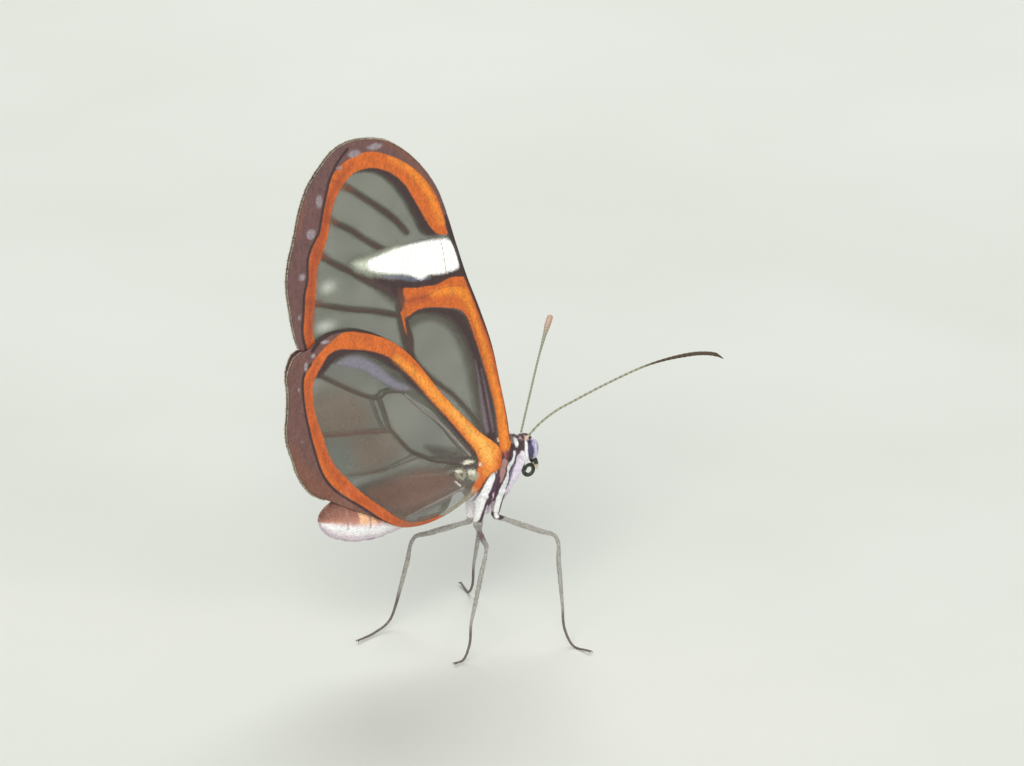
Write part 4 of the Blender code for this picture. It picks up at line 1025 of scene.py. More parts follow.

# Colour, softness and brush stroke of each stripe on the flanks, in X, Z and half width; one dark
# purple band is painted shade and one pink spot a painted highlight.
FLANK_STRIPES_SHADE_AND_HIGHLIGHT = (
    ("#C0908A", 0.1, ((-0.55, -0.5, 0.3), (-0.75, -0.9, 0.34), (-0.95, -1.35, 0.26),
                      (-1.1, -1.7, 0.14))),
    # Painted shade: a dark purple band where the flank lies in shade behind the mid coxa.
    ("#5E3C4C", 0.08, ((-1.4, -1.1, 0.1), (-1.5, -1.7, 0.2), (-1.6, -2.5, 0.26),
                       (-1.6, -3.2, 0.14))),
    ("#93503A", 0.08, ((-1.9, -0.5, 0.1), (-2.3, -1.25, 0.1), (-2.72, -1.95, 0.09),
                       (-3.1, -2.5, 0.06))),
    ("#EBD8E6", 0.08, ((-2.2, -3.6, 0.1), (-2.15, -4.2, 0.16), (-2.25, -5.0, 0.12))),
    ("#E4D0E0", 0.08, ((-1.55, -3.4, 0.06), (-1.5, -4.2, 0.1))),
    ("#4E3046", 0.05, ((-1.49, -1.1, 0.09), (-1.72, -1.8, 0.11), (-1.98, -2.5, 0.13),
                       (-2.3, -3.16, 0.14), (-2.38, -3.8, 0.13), (-2.44, -4.33, 0.12),
                       (-2.6, -4.9, 0.1))),
    ("#462A3A", 0.06, ((-1.2, -1.45, 0.1), (-1.38, -1.9, 0.12), (-1.46, -2.6, 0.13),
                       (-1.47, -3.2, 0.08))),
    ("#F6F0F8", 0.06, ((-3.0, -2.2, 0.1), (-3.2, -2.8, 0.26), (-3.15, -3.9, 0.24),
                       (-3.05, -4.7, 0.14))),
    ("#FFFFFF", 0.05, ((-1.72, -0.8, 0.12), (-1.78, -1.1, 0.2), (-2.1, -1.75, 0.29),
                       (-2.41, -2.46, 0.31), (-2.66, -3.18, 0.27), (-2.72, -3.85, 0.24),
                       (-2.8, -4.35, 0.2), (-2.92, -4.85, 0.14))),
    ("#9A8CA0", 0.04, ((-2.76, -2.3, 0.04), (-2.96, -2.9, 0.05), (-2.98, -3.6, 0.05))),
    ("#FFFFFF", 0.05, ((-1.41, -0.82, 0.07), (-1.44, -0.98, 0.08))),
    # Painted highlight: a small pink spot of light on the maroon flank stripe.
    ("#F2D8E4", 0.05, ((-1.7, -2.65, 0.06), (-1.74, -2.95, 0.07))),
    ("#E8DFEC", 0.08, ((1.5, -0.75, 0.36), (1.15, -0.75, 0.4), (0.95, -1.4, 0.4),
                       (0.7, -1.95, 0.38), (0.25, -2.55, 0.34), (-0.1, -3.05, 0.28),
                       (-0.42, -3.6, 0.16))),
    ("#F4ECF6", 0.08, ((1.25, -0.25, 0.16), (1.2, -0.6, 0.24), (1.35, -0.95, 0.22),
                       (1.15, -1.5, 0.1))),
    ("#8A7C9A", 0.06, ((0.66, -1.0, 0.07), (0.42, -1.45, 0.08), (0.22, -1.85, 0.09),
                       (-0.02, -2.35, 0.08), (-0.4, -3.0, 0.05))),
    ("#5A3E50", 0.05, ((0.8, -0.1, 0.09), (0.8, -0.45, 0.1), (0.68, -0.9, 0.07),
                       (0.6, -1.1, 0.04))),
    ("#FFFFFF", 0.05, ((0.58, -0.08, 0.1), (0.56, -0.42, 0.15), (0.45, -0.62, 0.19),
                       (0.18, -0.98, 0.22), (-0.14, -1.55, 0.28), (-0.6, -2.15, 0.35),
                       (-1.03, -2.75, 0.3), (-1.17, -3.42, 0.24), (-1.2, -4.1, 0.2),
                       (-1.17, -4.7, 0.15))),
    ("#FFFFFF", 0.05, ((1.53, 0.68, 0.04), (1.54, 0.5, 0.1), (1.54, 0.1, 0.125),
                       (1.56, -0.47, 0.12), (1.62, -0.8, 0.12))),
    ("#FBF4FA", 0.06, ((1.3, -0.93, 0.12), (1.65, -1.0, 0.14), (1.95, -0.93, 0.1))),
)


@dataclass
class Body:
    """Head, thorax, abdomen and legs in one skin, painted and covered with hair and scales."""

    voxel: float = 0.063

    def skin(self) -> Item:
        """Model the parts of the body and melt them into one surface.

        Returns:
            The skin, still in millimetres.
        """
        parts = [
            ellipsoid("head_form", (1.6, 0, 0), (0.92, 0.66, 0.93)),
            ellipsoid("brow_form", (2.05, 0, -0.1), (0.6, 0.42, 0.7)),
            ellipsoid("neck_form", (0.7, 0, -0.15), (0.8, 0.5, 0.55)),
            ellipsoid("nape_form", (0.76, 0, 0.22), (0.56, 0.56, 0.82)),
            ellipsoid("breast_form", (0.5, 0, -1.15), (0.62, 0.5, 1.05)),
            ellipsoid("collar_form", (-0.2, 0, -0.2), (0.85, 0.86, 0.9)),
            ellipsoid("thorax_form", (-1.75, 0, -1.85), (1.95, 1.5, 2.0)),
            ellipsoid("back_form", (-1.5, 0, -0.7), (1.6, 1.25, 0.95)),
        ]
        for side in Side:
            way = side.value
            parts += [
                ellipsoid("wing_root", (-0.85, way * 0.84, -0.6), (0.7, 0.28, 0.65)),
                ellipsoid("cheek", (1.5, way * 0.42, -0.55), (0.42, 0.3, 0.42)),
                tube("foreleg", (
                    (1.38, way * 0.3, -0.85, 0.24), (0.96, way * 0.4, -1.45, 0.28),
                    (0.66, way * 0.42, -1.93, 0.29), (0.2, way * 0.45, -2.51, 0.27),
                    (-0.1, way * 0.45, -3.04, 0.23), (-0.42, way * 0.45, -3.55, 0.14),
                ), 0.15),
                tube("palp", (
                    (2.15, way * 0.3, -0.7, 0.16), (2.42, way * 0.31, -1.02, 0.17),
                    (2.58, way * 0.3, -1.4, 0.15), (2.64, way * 0.28, -1.85, 0.08),
                ), 0.1),
            ]
        parts += [tube(leg.name, leg.joints(), 0.25) for leg in LEGS]
        parts.append(self.abdomen())
        choose(*parts)
        bpy.ops.object.join()
        item = named("body_skin")
        modify(item, "REMESH", mode="VOXEL", voxel_size=self.voxel, adaptivity=0.0)
        modify(item, "SMOOTH", factor=0.5, iterations=3)
        return item

    def abdomen(self) -> Item:
        """Sweep the abdomen along its axis, creased between its rings."""
        line = smooth_line(ABDOMEN_AXIS, 0.12)
        along = (line[0, 0] - line[:, 0]) / (line[0, 0] - line[-1, 0])
        crease = 0.035 * np.abs(np.cos(math.pi * ABDOMEN_RINGS * along)) ** 14
        radius = line[:, 2] * (1 - crease)
        stations = np.column_stack([line[:, 0], np.zeros(len(line)), line[:, 1], radius])
        item = tube("abdomen_form", stations, 0.1, 8)
        item.data.transform(Matrix.Diagonal((1, ABDOMEN_NARROWING, 1, 1)))
        return item

    def leg_share(self, places: Array) -> tuple[Array, Array]:
        """Tell which places are on a leg and which way that leg runs.

        Args:
            places: the places, one a row.

        Returns:
            A share from 0 to 1, and a direction down the leg for each place.
        """
        best = np.full(len(places), np.inf)
        way = np.tile((0.0, 0.0, -1.0), (len(places), 1))
        for leg in LEGS:
            line = leg.joints()[2:, :3]
            for start, end in zip(line, line[1:]):
                span = end - start
                along = np.clip((places - start) @ span / (span @ span), 0, 1)
                gap = np.linalg.norm(places - start - along[:, None] * span, axis=1)
                nearer = gap < best
                best[nearer] = gap[nearer]
                way[nearer] = span / np.linalg.norm(span)
        clear = (places[:, 2] < BELLY) | (np.abs(places[:, 1]) > BODY_HALF_WIDTH)
        share = soft_step((LEG_REACH - best) / LEG_BLEND)
        return share * clear * (places[:, 2] < LEG_TOP), way

    def paint(self, places: Array) -> Array:
        """Colour the body at these places, with painted shade on a hind thigh, on a flank and under
        the abdomen, and a painted highlight on a flank.

        Args:
            places: the places, one a row.

        Returns:
            Linear colours, one a row.
        """
        x, y, z = places.T
        side = np.abs(y)
        rng = np.random.default_rng(SEED)
        waver = 0.015 * np.sin(5 * z + 3 * side) + 0.012 * rng.standard_normal(len(places))
        colour = np.tile(linear("#4A3038"), (len(places), 1))

        def lay(code: str, depth: Array, softness: float = 0.06) -> None:
            """Lay a colour where the depth is above zero."""
            share = soft_step(depth / softness / 2 + 0.5)[:, None]
            colour[:] = colour * (1 - share) + np.array(linear(code)) * share

        plan = np.column_stack([x + waver, z])
        flank = side - 0.2 + np.maximum(0, -2.4 - z)
        for code, softness, stroke in FLANK_STRIPES_SHADE_AND_HIGHLIGHT:
            lay(code, np.minimum(flank, line_depth(plan, smooth_line(stroke, 0.2))), softness)
        lay("#D9CFC9", np.minimum(0.08 - np.abs(side - 0.42), np.minimum(z + 0.6, -0.1 - x)), 0.06)
        lay("#2E2024", np.minimum(0.3 - side, np.minimum(z + 0.2, -0.1 - x)), 0.1)
        oval = np.column_stack([x, side, 0.5 * z])
        lay("#FFFFFF", 0.18 - np.linalg.norm(oval - (0.78, 0.42, 0.26), axis=1), 0.04)
        temple = np.linalg.norm(np.column_stack([x, side, z]) - (1.25, 0.33, 0.72), axis=1)
        lay("#F0CBD4", 0.13 - temple, 0.05)
        lay("#FFFAFF", np.minimum(y - 0.1, np.minimum(-2.9 - z, -0.6 - x)), 0.1)
        seam = np.minimum(y - 0.1, 0.07 - np.abs(x + 1.75 + 0.12 * (z + 4)))
        lay("#8C7A92", seam - (z > -3.0), 0.05)
        lay("#C8BABE", np.minimum(0.12 - np.abs(x - 0.45), np.minimum(z - 0.6, 0.5 - side)), 0.08)
        lay("#5C4658", np.minimum(0.12 - np.abs(x - 1.66), np.minimum(z - 0.3, 0.35 - side)), 0.08)
        lay("#3A2C44", np.minimum(x - 1.7, z + 0.7), 0.06)
        lay("#38382C", np.minimum(x - 2.2, -0.74 - z), 0.1)
        lay("#E2D6B4", np.minimum(x - 2.4, -1.44 - z), 0.06)
        lay("#F0CDB8", 0.14 - np.hypot(x - 1.72, side - 0.38) - 0.4 * (z < 0.6), 0.05)
        self.paint_abdomen(places, lay)
        leg, _ = self.leg_share(places)
        lay("#A9A69E", leg - 0.5, 0.3)
        # Painted shade: the near hind thigh is darker mauve-brown where it lies in shade.
        shaded_thigh = np.minimum(0.9 - np.hypot(x + 3.4, y + 2.6), z + 6.2)
        lay("#7A5C62", np.minimum(leg - 0.5, shaded_thigh), 0.5)
        lay("#6E625C", np.minimum(leg - 0.5, -11.4 - z), 0.5)
        return colour

    def paint_abdomen(self, places: Array, lay: Callable[..., None]) -> None:
        """Colour the abdomen: brown above, white below with painted lilac shade at the bottom, with
        a pale patch and ring lines.
        """
        x, y, z = places.T
        rear = np.minimum(-3.5 - x, 4.9 + z)
        axis = np.array(ABDOMEN_AXIS)[::-1]
        middle = np.interp(x, axis[:, 0], axis[:, 1])
        depth = np.interp(x, axis[:, 0], axis[:, 2])
        level = (z - middle) / depth
        lay("#8A5B4C", rear, 0.2)
        lay("#A8705C", np.minimum(rear, 0.55 - level), 0.5)
        lay("#D49A84", np.minimum(rear, 0.15 - level), 0.35)
        patch = 0.64 - np.abs(x + 12.72 + 0.12 * z)
        lay("#FFC79C", np.minimum(np.minimum(rear, 0.75 - level), patch), 0.08)
        lay("#E0A892", np.minimum(np.minimum(rear, 0.3 - level), 0.7 - np.abs(x + 10.6)), 0.2)
        belly = -0.16 - level + 0.03 * np.sin(9 * x) - 0.06 * (x + 12)
        lay("#F6E8EC", np.minimum(rear, belly), 0.18)
        lay("#FFFFFF", np.minimum(rear, 0.16 - np.abs(level + 0.42 + 0.05 * (x + 12))), 0.2)
        # Painted shade: the lowest part of the white underside turns greyer lilac.
        lay("#D6C8D4", np.minimum(rear, -0.72 - level), 0.3)
        along = (axis[-1, 0] - x) / (axis[-1, 0] - axis[0, 0])
        ring = np.abs(np.cos(math.pi * ABDOMEN_RINGS * along))
        lay("#B4887C", np.minimum(np.minimum(rear, level + 0.3), (ring - 0.996) * 6), 0.04)
        lay("#A08CA8", np.minimum(rear, 0.26 - np.hypot(x + 11.6, 2.2 * (level + 0.92))), 0.14)

    def build(self) -> Item:
        """Make the skin and paint it.

        Returns:
            The painted skin, still in millimetres.
        """
        item = self.skin()
        places = coordinates(item)
        add_values(item, "marking", self.paint(places))
        return item


@dataclass(frozen=True)
class Coat:
    """Tufts of one length and thickness over a part of the skin."""

    name: str
    slot: str
    count: int
    length: float
    width: float
    lift: float
    droop: float
    region: str


@dataclass
class Tufts:
    """A tapered tuft, modelled once, and its copies on the roots of a coat."""

    patch: float = 0.003

    def template(self) -> tuple[Array, Array]:
        """Model one tuft: a three-sided stem drawn out to a point.

        Returns:
            Its vertices, with its length along Z from 0 to 1, and its triangles.
        """
        bpy.ops.mesh.primitive_cone_add(
            vertices=3, radius1=0.5, radius2=0.42, depth=0.5, location=(0, 0, 0.25)
        )
        item = named("tuft")
        with edit_mode(item):
            bpy.ops.mesh.select_mode(type="FACE")
            bpy.ops.mesh.select_all(action="DESELECT")
            bpy.ops.object.mode_set(mode="OBJECT")
            for face in item.data.polygons:
                face.select = face.normal.z > 0.9
            bpy.ops.object.mode_set(mode="EDIT")
            bpy.ops.mesh.extrude_region_move(TRANSFORM_OT_translate={"value": (0, 0, 0.5)})
            bpy.ops.mesh.merge(type="CENTER")
            bpy.ops.mesh.select_all(action="SELECT")
            bpy.ops.mesh.quads_convert_to_tris()
            bpy.ops.mesh.normals_make_consistent(inside=False)
        places = coordinates(item)
        faces = np.array([face.vertices[:] for face in item.data.polygons])
        bpy.data.objects.remove(item)
        return places, faces

    def grow(self, name: str, roots: Array, ways: Array, normals: Array, sizes: Array, droop: float,
             colours: Array, spots: Array) -> Item:
        """Copy the tuft to every root as one mesh.

        Args:
            name: name of the piece.
            roots: root places.
            ways: directions of growth, of length 1.
            normals: the skin's normals at the roots.
            sizes: length and width of each tuft.
            droop: how far a tip bends down to the skin, as a share of its length.
            colours: linear colour of each tuft.
            spots: place of each root on the skin's unwrap.

        Returns:
            The joined tufts with the map named OFBake.
        """
        form, faces = self.template()
        across = np.cross(normals, ways)
        across /= np.maximum(np.linalg.norm(across, axis=1, keepdims=True), 1e-9)
        rise = np.cross(ways, across)
        length, width = sizes[:, :1, None], sizes[:, 1:, None]
        fx, fy, fz = (form[None, :, k, None] for k in range(3))
        places = (
            roots[:, None] + across[:, None] * fx * width + rise[:, None] * fy * width * 0.6
            + ways[:, None] * fz * length - normals[:, None] * fz**2 * droop * length
        )
        count, corners = len(roots), len(form)
        mesh = bpy.data.meshes.new(name)
        all_faces = (faces[None] + np.arange(count)[:, None, None] * corners).reshape(-1, 3)
        mesh.from_pydata(places.reshape(-1, 3), [], all_faces)
        item = link(name, mesh)
        add_values(item, "marking", np.repeat(colours, corners, axis=0))
        flat = np.column_stack([form[:, 0], form[:, 2] - 0.5]) * self.patch
        where = (spots[:, None] + flat[None]).reshape(-1, 2)
        layer = mesh.uv_layers.new(name="OFBake")
        layer.data.foreach_set("uv", where[all_faces.ravel()].astype(np.float32).ravel())
        return item


@dataclass
class Pelt:
    """Roots spread over a skin, by area, with their normals and places on its unwrap."""

    skin: Item

    def unwrap(self) -> None:
        """Unwrap the skin by its own shape."""
        with edit_mode(self.skin):
            bpy.ops.mesh.select_all(action="SELECT")
            bpy.ops.uv.smart_project(angle_limit=math.radians(66), island_margin=0.002)

    def spread(
        self, count: int, keep: Callable[[Array], Array], seed: int
    ) -> tuple[Array, Array, Array]:
        """Draw roots over the part of the skin where keep says so.

        Args:
            count: how many roots.
            keep: picks the faces by their centres.
            seed: seed of the draw.

        Returns:
            Places, normals and unwrap places of the roots.
        """
        mesh = self.skin.data
        faces = len(mesh.polygons)
        centres, normals, areas = np.empty(faces * 3), np.empty(faces * 3), np.empty(faces)
        mesh.polygons.foreach_get("center", centres)
        mesh.polygons.foreach_get("normal", normals)
        mesh.polygons.foreach_get("area", areas)
        centres, normals = centres.reshape(-1, 3), normals.reshape(-1, 3)
        corners = np.empty(len(mesh.loops) * 2, np.float32)
        mesh.uv_layers.active.data.foreach_get("uv", corners)
        starts = np.empty(faces, np.int64)
        mesh.polygons.foreach_get("loop_start", starts)
        unwrapped = corners.reshape(-1, 2)[starts]
        weight = areas * keep(centres)
        rng = np.random.default_rng(seed)
        picks = rng.choice(faces, count, p=weight / weight.sum())
        jitter = rng.normal(0, 0.02, (count, 3))
        jitter -= normals[picks] * (jitter * normals[picks]).sum(1, keepdims=True)
        return centres[picks] + jitter - 0.01 * normals[picks], normals[picks], unwrapped[picks]


COATS = (
    Coat("coat_thorax", "body_hair", 17000, 0.2, 0.045, 0.16, 0.12, "thorax"),
    Coat("coat_head", "body_hair", 7000, 0.16, 0.036, 0.28, 0.1, "head"),
    Coat("coat_abdomen", "abdomen", 13000, 0.24, 0.07, 0.12, 0.1, "abdomen"),
    Coat("coat_legs", "leg", 9000, 0.16, 0.04, 0.2, 0.1, "leg"),
)


def grow_coats(body: Body, skin: Item, material: Material) -> None:
    """Cover the skin with its coats.

    Args:
        body: what paints the tufts.
        skin: the unwrapped skin, in millimetres.
        material: the coat's material.
    """
    pelt = Pelt(skin)
    pelt.unwrap()
    eye = np.array(EYE_CENTRE)
    half = np.array(EYE_HALF)

    def on_leg(places: Array) -> Array:
        return body.leg_share(places)[0] > 0.5

    def off_eye(places: Array) -> Array:
        turned = np.column_stack([places[:, 0], np.abs(places[:, 1]), places[:, 2]])
        return np.linalg.norm((turned - eye) / (half + 0.03), axis=1) > 1.0

    regions = {
        "thorax": lambda p: (p[:, 0] < 0.55) & (p[:, 0] > -3.6) & ~on_leg(p),
        "head": lambda p: (p[:, 0] >= 0.45) & (p[:, 2] > -2.4) & off_eye(p) & ~on_leg(p),
        "abdomen": lambda p: (p[:, 0] <= -3.4) & (p[:, 2] > -5.2) & ~on_leg(p),
        "leg": on_leg,
    }
    tufts = Tufts()
    for index, coat in enumerate(COATS):
        rng = np.random.default_rng(SEED + index)
        roots, normals, spots = pelt.spread(coat.count, regions[coat.region], COAT_SEED + index)
        lie = np.tile((-1.0, 0.0, -0.1), (coat.count, 1))
        if coat.region == "thorax":
            down = soft_step((0.3 - roots[:, 2]) / 1.2)[:, None]
            lie = lie * (1 - down) + np.array((-0.3, 0.0, -0.95)) * down
        if coat.region == "head":
            lie = np.tile((0.25, 0.0, 0.6), (coat.count, 1)) * np.sign(roots[:, 2:] + 0.3)
            lie = lie + np.array((-0.5, 0, 0))
        if coat.region == "leg":
            lie = body.leg_share(roots)[1].copy()
        lie += rng.normal(0, 0.12, lie.shape)
        lie -= normals * (lie * normals).sum(1, keepdims=True)
        lie /= np.maximum(np.linalg.norm(lie, axis=1, keepdims=True), 1e-9)
        lift = coat.lift * rng.uniform(0.5, 1.5, coat.count)[:, None]
        ways = lie + normals * lift
        ways /= np.linalg.norm(ways, axis=1, keepdims=True)
        sizes = np.column_stack([
            coat.length * rng.uniform(0.6, 1.25, coat.count),
            coat.width * rng.uniform(0.7, 1.3, coat.count),
        ])
        if coat.region == "leg":
            sizes *= (0.6 + 0.4 * soft_step((roots[:, 2] + 12) / 3))[:, None]
        if coat.region == "head":
            sizes[:, 0] *= 0.7 + 1.3 * ((roots[:, 2] > 0.55) & (np.abs(roots[:, 1]) < 0.45))
        tint = body.paint(roots) * rng.uniform(0.88, 1.22, coat.count)[:, None]
        if coat.region == "leg":
            draw = rng.random(coat.count)
            tint[draw < 0.3] = linear("#ECEAE2")
            tint[draw > 0.84] = linear("#463C38")
        tint = np.clip(tint, 0, 1)
        item = tufts.grow(coat.name, roots, ways, normals, sizes, coat.droop, tint, spots)
        finish_piece(item, material, coat.slot)


def grow_fringe(wing: Wing, material: Material) -> None:
    """Set a fringe of short pale hairs on the outer margin of a pair of wings.

    Args:
        wing: the wings.
        material: the hairs' material.
    """
    line = smooth_line(wing.fringe, 0.035)
    way = np.gradient(line, axis=0)
    way /= np.linalg.norm(way, axis=1, keepdims=True)
    out = np.column_stack([-way[:, 1], way[:, 0]])
    middle = np.array(wing.outline).mean(0)
    out *= np.sign(((line - middle) * out).sum(1))[:, None]
    rng = np.random.default_rng(FRINGE_SEED)
    count = len(line)
    roots = np.column_stack([line[:, 0], wing.face(line[:, 0], line[:, 1]), line[:, 1]])
    ways = np.column_stack([out[:, 0], rng.normal(0, 0.12, count), out[:, 1]])
    ways += rng.normal(0, 0.1, (count, 3))
    ways /= np.linalg.norm(ways, axis=1, keepdims=True)
    normals = np.tile((0.0, 1.0, 0.0), (count, 1))
    sizes = np.column_stack([rng.uniform(0.1, 0.19, count), rng.uniform(0.04, 0.07, count)])
    front = soft_step((10.6 + line[:, 0]) / 1.5) * (line[:, 1] > 12.0)
    sizes[:, 0] *= 1 - 0.45 * front
    dark = (rng.random(count) < 0.3 + 0.3 * front)[:, None]
    colours = np.where(dark, linear("#76604E"), linear("#BEB099"))
    colours = np.clip(colours * rng.uniform(0.8, 1.15, count)[:, None], 0, 1)
    low, size = np.array(wing.outline).min(0), np.ptp(np.array(wing.outline), axis=0)
    spots = 0.02 + 0.96 * (line - low) / size
    for side in Side:
        flip = np.array((1.0, side.value, 1.0))
        item = Tufts().grow(
            f"{wing.label}_fringe_{side.label}", roots * flip, ways * flip, normals * flip,
            sizes, 0.0, colours, spots,
        )
        with edit_mode(item):
            bpy.ops.mesh.select_all(action="SELECT")
            bpy.ops.mesh.normals_make_consistent(inside=False)
        finish_piece(item, material, "wing")


@dataclass
class Feelers:
    """Two ringed antennae that bow upwards and thicken towards their tips."""

    root: tuple[float, float, float] = (1.6, 0.4, 0.75)
    reaches: tuple = (
        ("antenna_left", (9.1, 11.2, 4.35), (
            (0.0, 0.0), (0.25, 0.2), (0.6, 0.42), (0.85, 0.25), (1.0, 0.0),
        )),
        ("antenna_right", (12.7, -7.3, 6.3), (
            (0.0, 0.0), (0.08, 0.82), (0.15, 1.22), (0.25, 1.46), (0.44, 1.8), (0.61, 1.92),
            (0.77, 1.62), (0.89, 1.12), (0.96, 0.58), (1.0, 0.0),
        )),
    )
    shaft: float = 0.085
    club: float = 0.15
    rings: int = 38

    def build(self, material: Material) -> None:
        """Make both antennae, in the pose of the photo."""
        for name, reach, bow in self.reaches:
            side = 1 if reach[1] > 0 else -1
            root = np.array(self.root) * (1, side, 1)
            t = np.linspace(0, 1, self.rings * 8 + 1)
            place = root + t[:, None] * np.array(reach)
            lift = smooth_line([(share * 10, height) for share, height in bow], 0.05)
            place[:, 2] += np.interp(t * 10, lift[:, 0], lift[:, 1])
            thick = self.shaft + (self.club - self.shaft) * soft_step((t - 0.62) / 0.22)
            blunt = 0.018 if side > 0 else 0.045
            thick += 0.09 * soft_step((t - 0.8) / 0.12) * (side > 0)
            thick *= 1 - 0.75 * soft_step((t - 1 + blunt) / blunt)
            ring = np.abs(np.cos(math.pi * self.rings * t)) ** 10
            thick += 0.06 * (1 - soft_step(t / 0.02)) - 0.018 * ring
            item = tube(f"{name}_shaft", np.column_stack([place, thick]), 0.05, 3)
            places = coordinates(item)
            along = np.clip((places - root) @ np.array(reach) / np.dot(reach, reach), 0, 1)
            self.paint(item, along, side)
            finish_piece(item, material, "antenna", name)

    def paint(self, item: Item, along: Array, side: int) -> None:
        """Colour a shaft pale, with a tan end on the left one and a brown end of painted shade on
        the right one.
        """
        # Painted shade: the right antenna's end is brown where the left one's same end is tan.
        tip = "#4E3C28" if side < 0 else "#D6AE98"
        pale, dark, end = (np.array(linear(code)) for code in ("#A6A88E", "#6E6A58", tip))
        share = soft_step((along - (0.6 if side < 0 else 0.8)) / 0.12)[:, None]
        ring = (np.abs(np.cos(math.pi * self.rings * along)) ** 10)[:, None]
        colours = pale * (1 - ring) + dark * ring
        colours = colours * (1 - share) + end * (1 - 0.4 * ring) * share
        socket = soft_step(1 - along / 0.03)[:, None]
        add_values(item, "marking", colours * (1 - socket) + np.array(linear("#F0CDB8")) * socket)


@dataclass
class Mouth:
    """The drinking tube, coiled below the head."""

    x: float = 1.6
    radius: float = 0.5
    inner: float = 0.24
    thickness: float = 0.12
    turns: float = 2.0
    height: float = -1.9

    def build(self, material: Material) -> None:
        """Make the coil with its fine cross rings."""
        t = np.linspace(0, 1, 160)
        turn = 2 * math.pi * self.turns * t
        radius = self.radius + (self.inner - self.radius) * t
        centre = np.array((self.x + self.radius, 0, self.height))
        ways = np.column_stack([np.cos(turn), np.zeros(len(t)), np.sin(turn)])
        coil = centre - ways * radius[:, None]
        thick = self.thickness * (1 - 0.5 * t) - 0.008 * (np.arange(len(t)) % 2)
        drop = np.array([(self.x + 0.05, 0, -0.75), (self.x, 0, -1.3)])
        drop = np.column_stack([drop, (self.thickness, self.thickness)])
        item = tube("proboscis_coil", np.vstack([drop, np.column_stack([coil, thick])]), 0.035, 4)
        finish_piece(item, material, "antenna", "proboscis")


def build_eyes(material: Material) -> None:
    """Set a finely faceted eye in each side of the head."""
    for side in Side:
        centre = (EYE_CENTRE[0], EYE_CENTRE[1] * side.value, EYE_CENTRE[2])
        item = ellipsoid(f"eye_dome_{side.label}", centre, EYE_HALF, 64, 40)
        finish_piece(item, material, "eye", f"eye_{side.label}")


def build_claws(material: Material) -> None:
    """Put two small curved claws on the end of each standing leg."""
    claws = []
    for leg in LEGS:
        heel, toe = leg.joints()[-2:, :3]
        way = (toe - heel) / np.linalg.norm(toe - heel)
        across = np.cross(way, (0, 0, 1))
        for turn in (-1, 1):
            base = toe + across * 0.05 * turn - way * 0.05
            middle = base + way * 0.14 + across * 0.05 * turn
            tip = base + way * 0.2 + across * 0.06 * turn + np.array((0, 0, -0.12))
            claws.append(tube("claw", ((*base, 0.045), (*middle, 0.035), (*tip, 0.01)), 0.04, 2))
    choose(*claws)
    bpy.ops.object.join()
    finish_piece(named("claws"), material, "leg")


def skin_material() -> Material:
    """Painted skin with fine scales."""
    recipe = Recipe("painted_skin")
    shade = recipe.between(recipe.grain(7.0, 3.0), 0.3, 0.7, 0.75, 1.1)
    shade = recipe.sums("MULTIPLY", shade, 0.9)
    colour = recipe.mix(1.0, recipe.attribute("marking", True), shade, "MULTIPLY")
    recipe.set(Base_Color=colour, Roughness=recipe.between(recipe.grain(3.0), 0.3, 0.7, 0.5, 0.75))
    recipe.shader.inputs["Sheen Weight"].default_value = 0.15
    recipe.bump(recipe.grain(14.0, 2.0), 0.02, 0.7)
    return recipe.material


def coat_material() -> Material:
    """Hair and scales that carry the colours of the skin below."""
    recipe = Recipe("hair")
    shade = recipe.between(recipe.grain(12.0, 1.0), 0.3, 0.7, 0.85, 1.1)
    colour = recipe.mix(1.0, recipe.attribute("marking", True), shade, "MULTIPLY")
    recipe.set(Base_Color=colour, Roughness=0.5)
    recipe.shader.inputs["Sheen Weight"].default_value = 0.2
    recipe.bump(recipe.grain(20.0, 1.0), 0.01, 0.4)
    return recipe.material


def eye_material() -> Material:
    """Blue-grey facets with a painted lilac reflection and a painted pale highlight towards the
    front.
    """
    recipe = Recipe("eye_facets")
    split = recipe.node("ShaderNodeSeparateXYZ")
    recipe.feed(split.inputs[0], recipe.place)
    front = recipe.sums("SUBTRACT", split.outputs["X"], hinge_place().x)
    front = recipe.sums("MULTIPLY", front, 1 / MM)
    cloud = recipe.sums("MULTIPLY_ADD", recipe.grain(2.5, 2.0), 0.3, front)
    # Painted reflection: the eye turns lilac towards its front, as if it mirrored a pale sky.
    colour = recipe.mix(recipe.between(cloud, 2.06, 2.18), solid("#3A3A58"), solid("#A69CBC"))
    # The purple band lies behind the lilac; the pale band at its front is a painted highlight.
    for middle, code in ((1.86, "#5A5684"), (2.34, "#D2CADC")):
        band = recipe.sums("ABSOLUTE", recipe.sums("SUBTRACT", cloud, middle))
        colour = recipe.mix(recipe.between(band, 0.03, 0.09, 0.8, 0.0), colour, solid(code))
    facets = recipe.node("ShaderNodeTexVoronoi", feature="DISTANCE_TO_EDGE")
    recipe.feed(facets.inputs["Vector"], recipe.place)
    facets.inputs["Scale"].default_value = 26 / MM
    recipe.set(Base_Color=colour, Roughness=0.3)
    recipe.shader.inputs["Coat Weight"].default_value = 0.4
    recipe.bump(recipe.between(facets.outputs["Distance"], 0.0, 0.25), 0.006, 0.6)
    return recipe.material


def shaft_material() -> Material:
    """Finely haired, ringed feelers."""
    recipe = Recipe("feeler")
    shade = recipe.between(recipe.grain(16.0, 2.0), 0.3, 0.7, 0.7, 1.1)
    colour = recipe.mix(1.0, recipe.attribute("marking", True), shade, "MULTIPLY")
    recipe.set(Base_Color=colour, Roughness=0.6)
    recipe.bump(recipe.grain(22.0, 1.0), 0.008, 0.6)
    return recipe.material


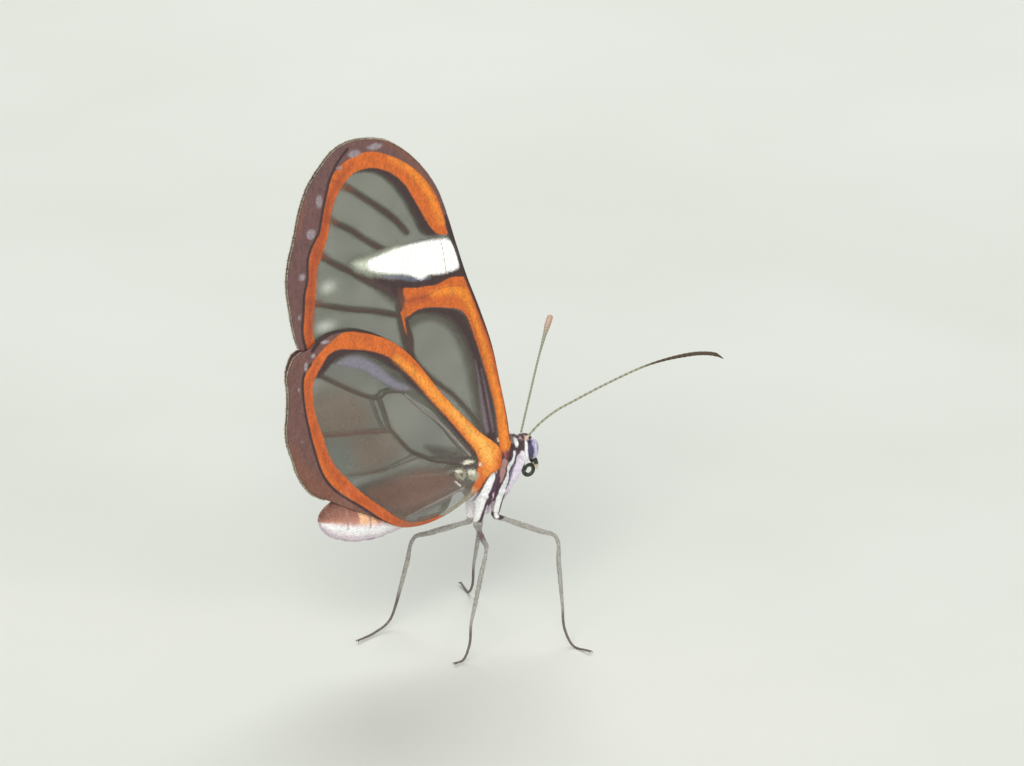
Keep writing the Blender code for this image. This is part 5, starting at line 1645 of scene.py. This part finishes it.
def horn_material(name: str, code: str, pale: str, roughness: float) -> Material:
    """Smooth dark horn with paler clouds.

    Args:
        name: name of the material.
        code: its main colour.
        pale: colour of the clouds.
        roughness: how dull it is.

    Returns:
        The material.
    """
    recipe = Recipe(name)
    cloud = recipe.between(recipe.grain(4.0, 3.0), 0.4, 0.7)
    recipe.set(Base_Color=recipe.mix(cloud, solid(code), solid(pale)), Roughness=roughness)
    recipe.bump(recipe.grain(10.0, 2.0), 0.008, 0.4)
    return recipe.material


@dataclass
class Studio:
    """Floor, lights and the camera that looks as the photo does."""

    azimuth: float = -30.0
    elevation: float = 20.0
    distance: float = 0.9
    sensor: float = 36.0
    frame_width: float = PHOTO_WIDTH / PIXELS_PER_MM
    target: tuple[float, float, float] = (0.66, 0.0, 5.19)

    def build(self) -> None:
        """Set up the room."""
        self.floor()
        self.lights()
        self.camera()

    def direction(self, azimuth: float, elevation: float) -> Vector:
        """Unit vector towards a place at these angles."""
        a, e = math.radians(azimuth), math.radians(elevation)
        return Vector((math.sin(a) * math.cos(e), -math.cos(a) * math.cos(e), math.sin(e)))

    def floor(self) -> None:
        """Lay a pale floor that is far wider than the view."""
        bpy.ops.mesh.primitive_plane_add(size=8.0)
        item = named("floor")
        recipe = Recipe("pale_floor")
        cloud = recipe.between(recipe.grain(0.02, 3.0), 0.3, 0.7, 0.0, 1.0)
        recipe.set(Base_Color=recipe.mix(cloud, solid("#D3D6CE"), solid("#DADCD5")), Roughness=0.8)
        item.data.materials.append(recipe.material)

    def lights(self) -> None:
        """Hang large soft lamps and a pale sky."""
        bpy.context.scene.view_settings.view_transform = "Standard"
        world = bpy.context.scene.world or bpy.data.worlds.new("room")
        bpy.context.scene.world = world
        world.use_nodes = True
        background = world.node_tree.nodes["Background"]
        background.inputs["Color"].default_value = (0.93, 0.97, 1.0, 1)
        background.inputs["Strength"].default_value = 0.34
        lamps = (
            ("key", (-42.0, 36.0), 0.55, 0.3, 2.05, (1.0, 0.97, 0.92)),
            ("fill", (15.0, 14.0), 0.7, 0.5, 1.5, (0.93, 0.97, 1.0)),
            ("rim", (150.0, 45.0), 0.6, 0.4, 2.2, (1.0, 1.0, 0.98)),
        )
        aim = hinge_place()
        for name, (azimuth, elevation), away, size, power, tint in lamps:
            data = bpy.data.lights.new(name, "AREA")
            data.energy, data.size, data.color = power, size, tint
            lamp = link(name, data)
            back = self.direction(azimuth, elevation)
            lamp.location = aim + back * away
            lamp.rotation_euler = back.to_track_quat("Z", "Y").to_euler()

    def camera(self) -> None:
        """Place a long lens at the photo's angle and framing."""
        data = bpy.data.cameras.new("camera")
        data.sensor_width = self.sensor
        data.lens = self.sensor * self.distance / (self.frame_width * MM)
        data.clip_start = 0.01
        item = link("camera", data)
        back = self.direction(self.azimuth, self.elevation)
        item.location = hinge_place() + Vector(self.target) * MM + back * self.distance
        item.rotation_euler = back.to_track_quat("Z", "Y").to_euler()
        bpy.context.scene.camera = item


def main() -> None:
    """Build the butterfly and its room."""
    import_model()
    Studio().build()
    hair = coat_material()
    for wing in (forewings(), hindwings()):
        wing.build(wing.material())
        grow_fringe(wing, hair)
    body = Body()
    skin = body.build()
    grow_coats(body, skin, hair)
    finish_piece(
        skin, skin_material(), "body_hair", "head", "thorax", "abdomen", "palp_left", "palp_right",
        "foreleg_left", "foreleg_right", *(leg.name for leg in LEGS),
    )
    build_eyes(eye_material())
    Feelers().build(shaft_material())
    Mouth().build(horn_material("drinking_tube", "#23281F", "#4A5044", 0.4))
    build_claws(horn_material("claw_horn", "#2A1C16", "#4A3428", 0.35))


if __name__ == "__main__":
    main()
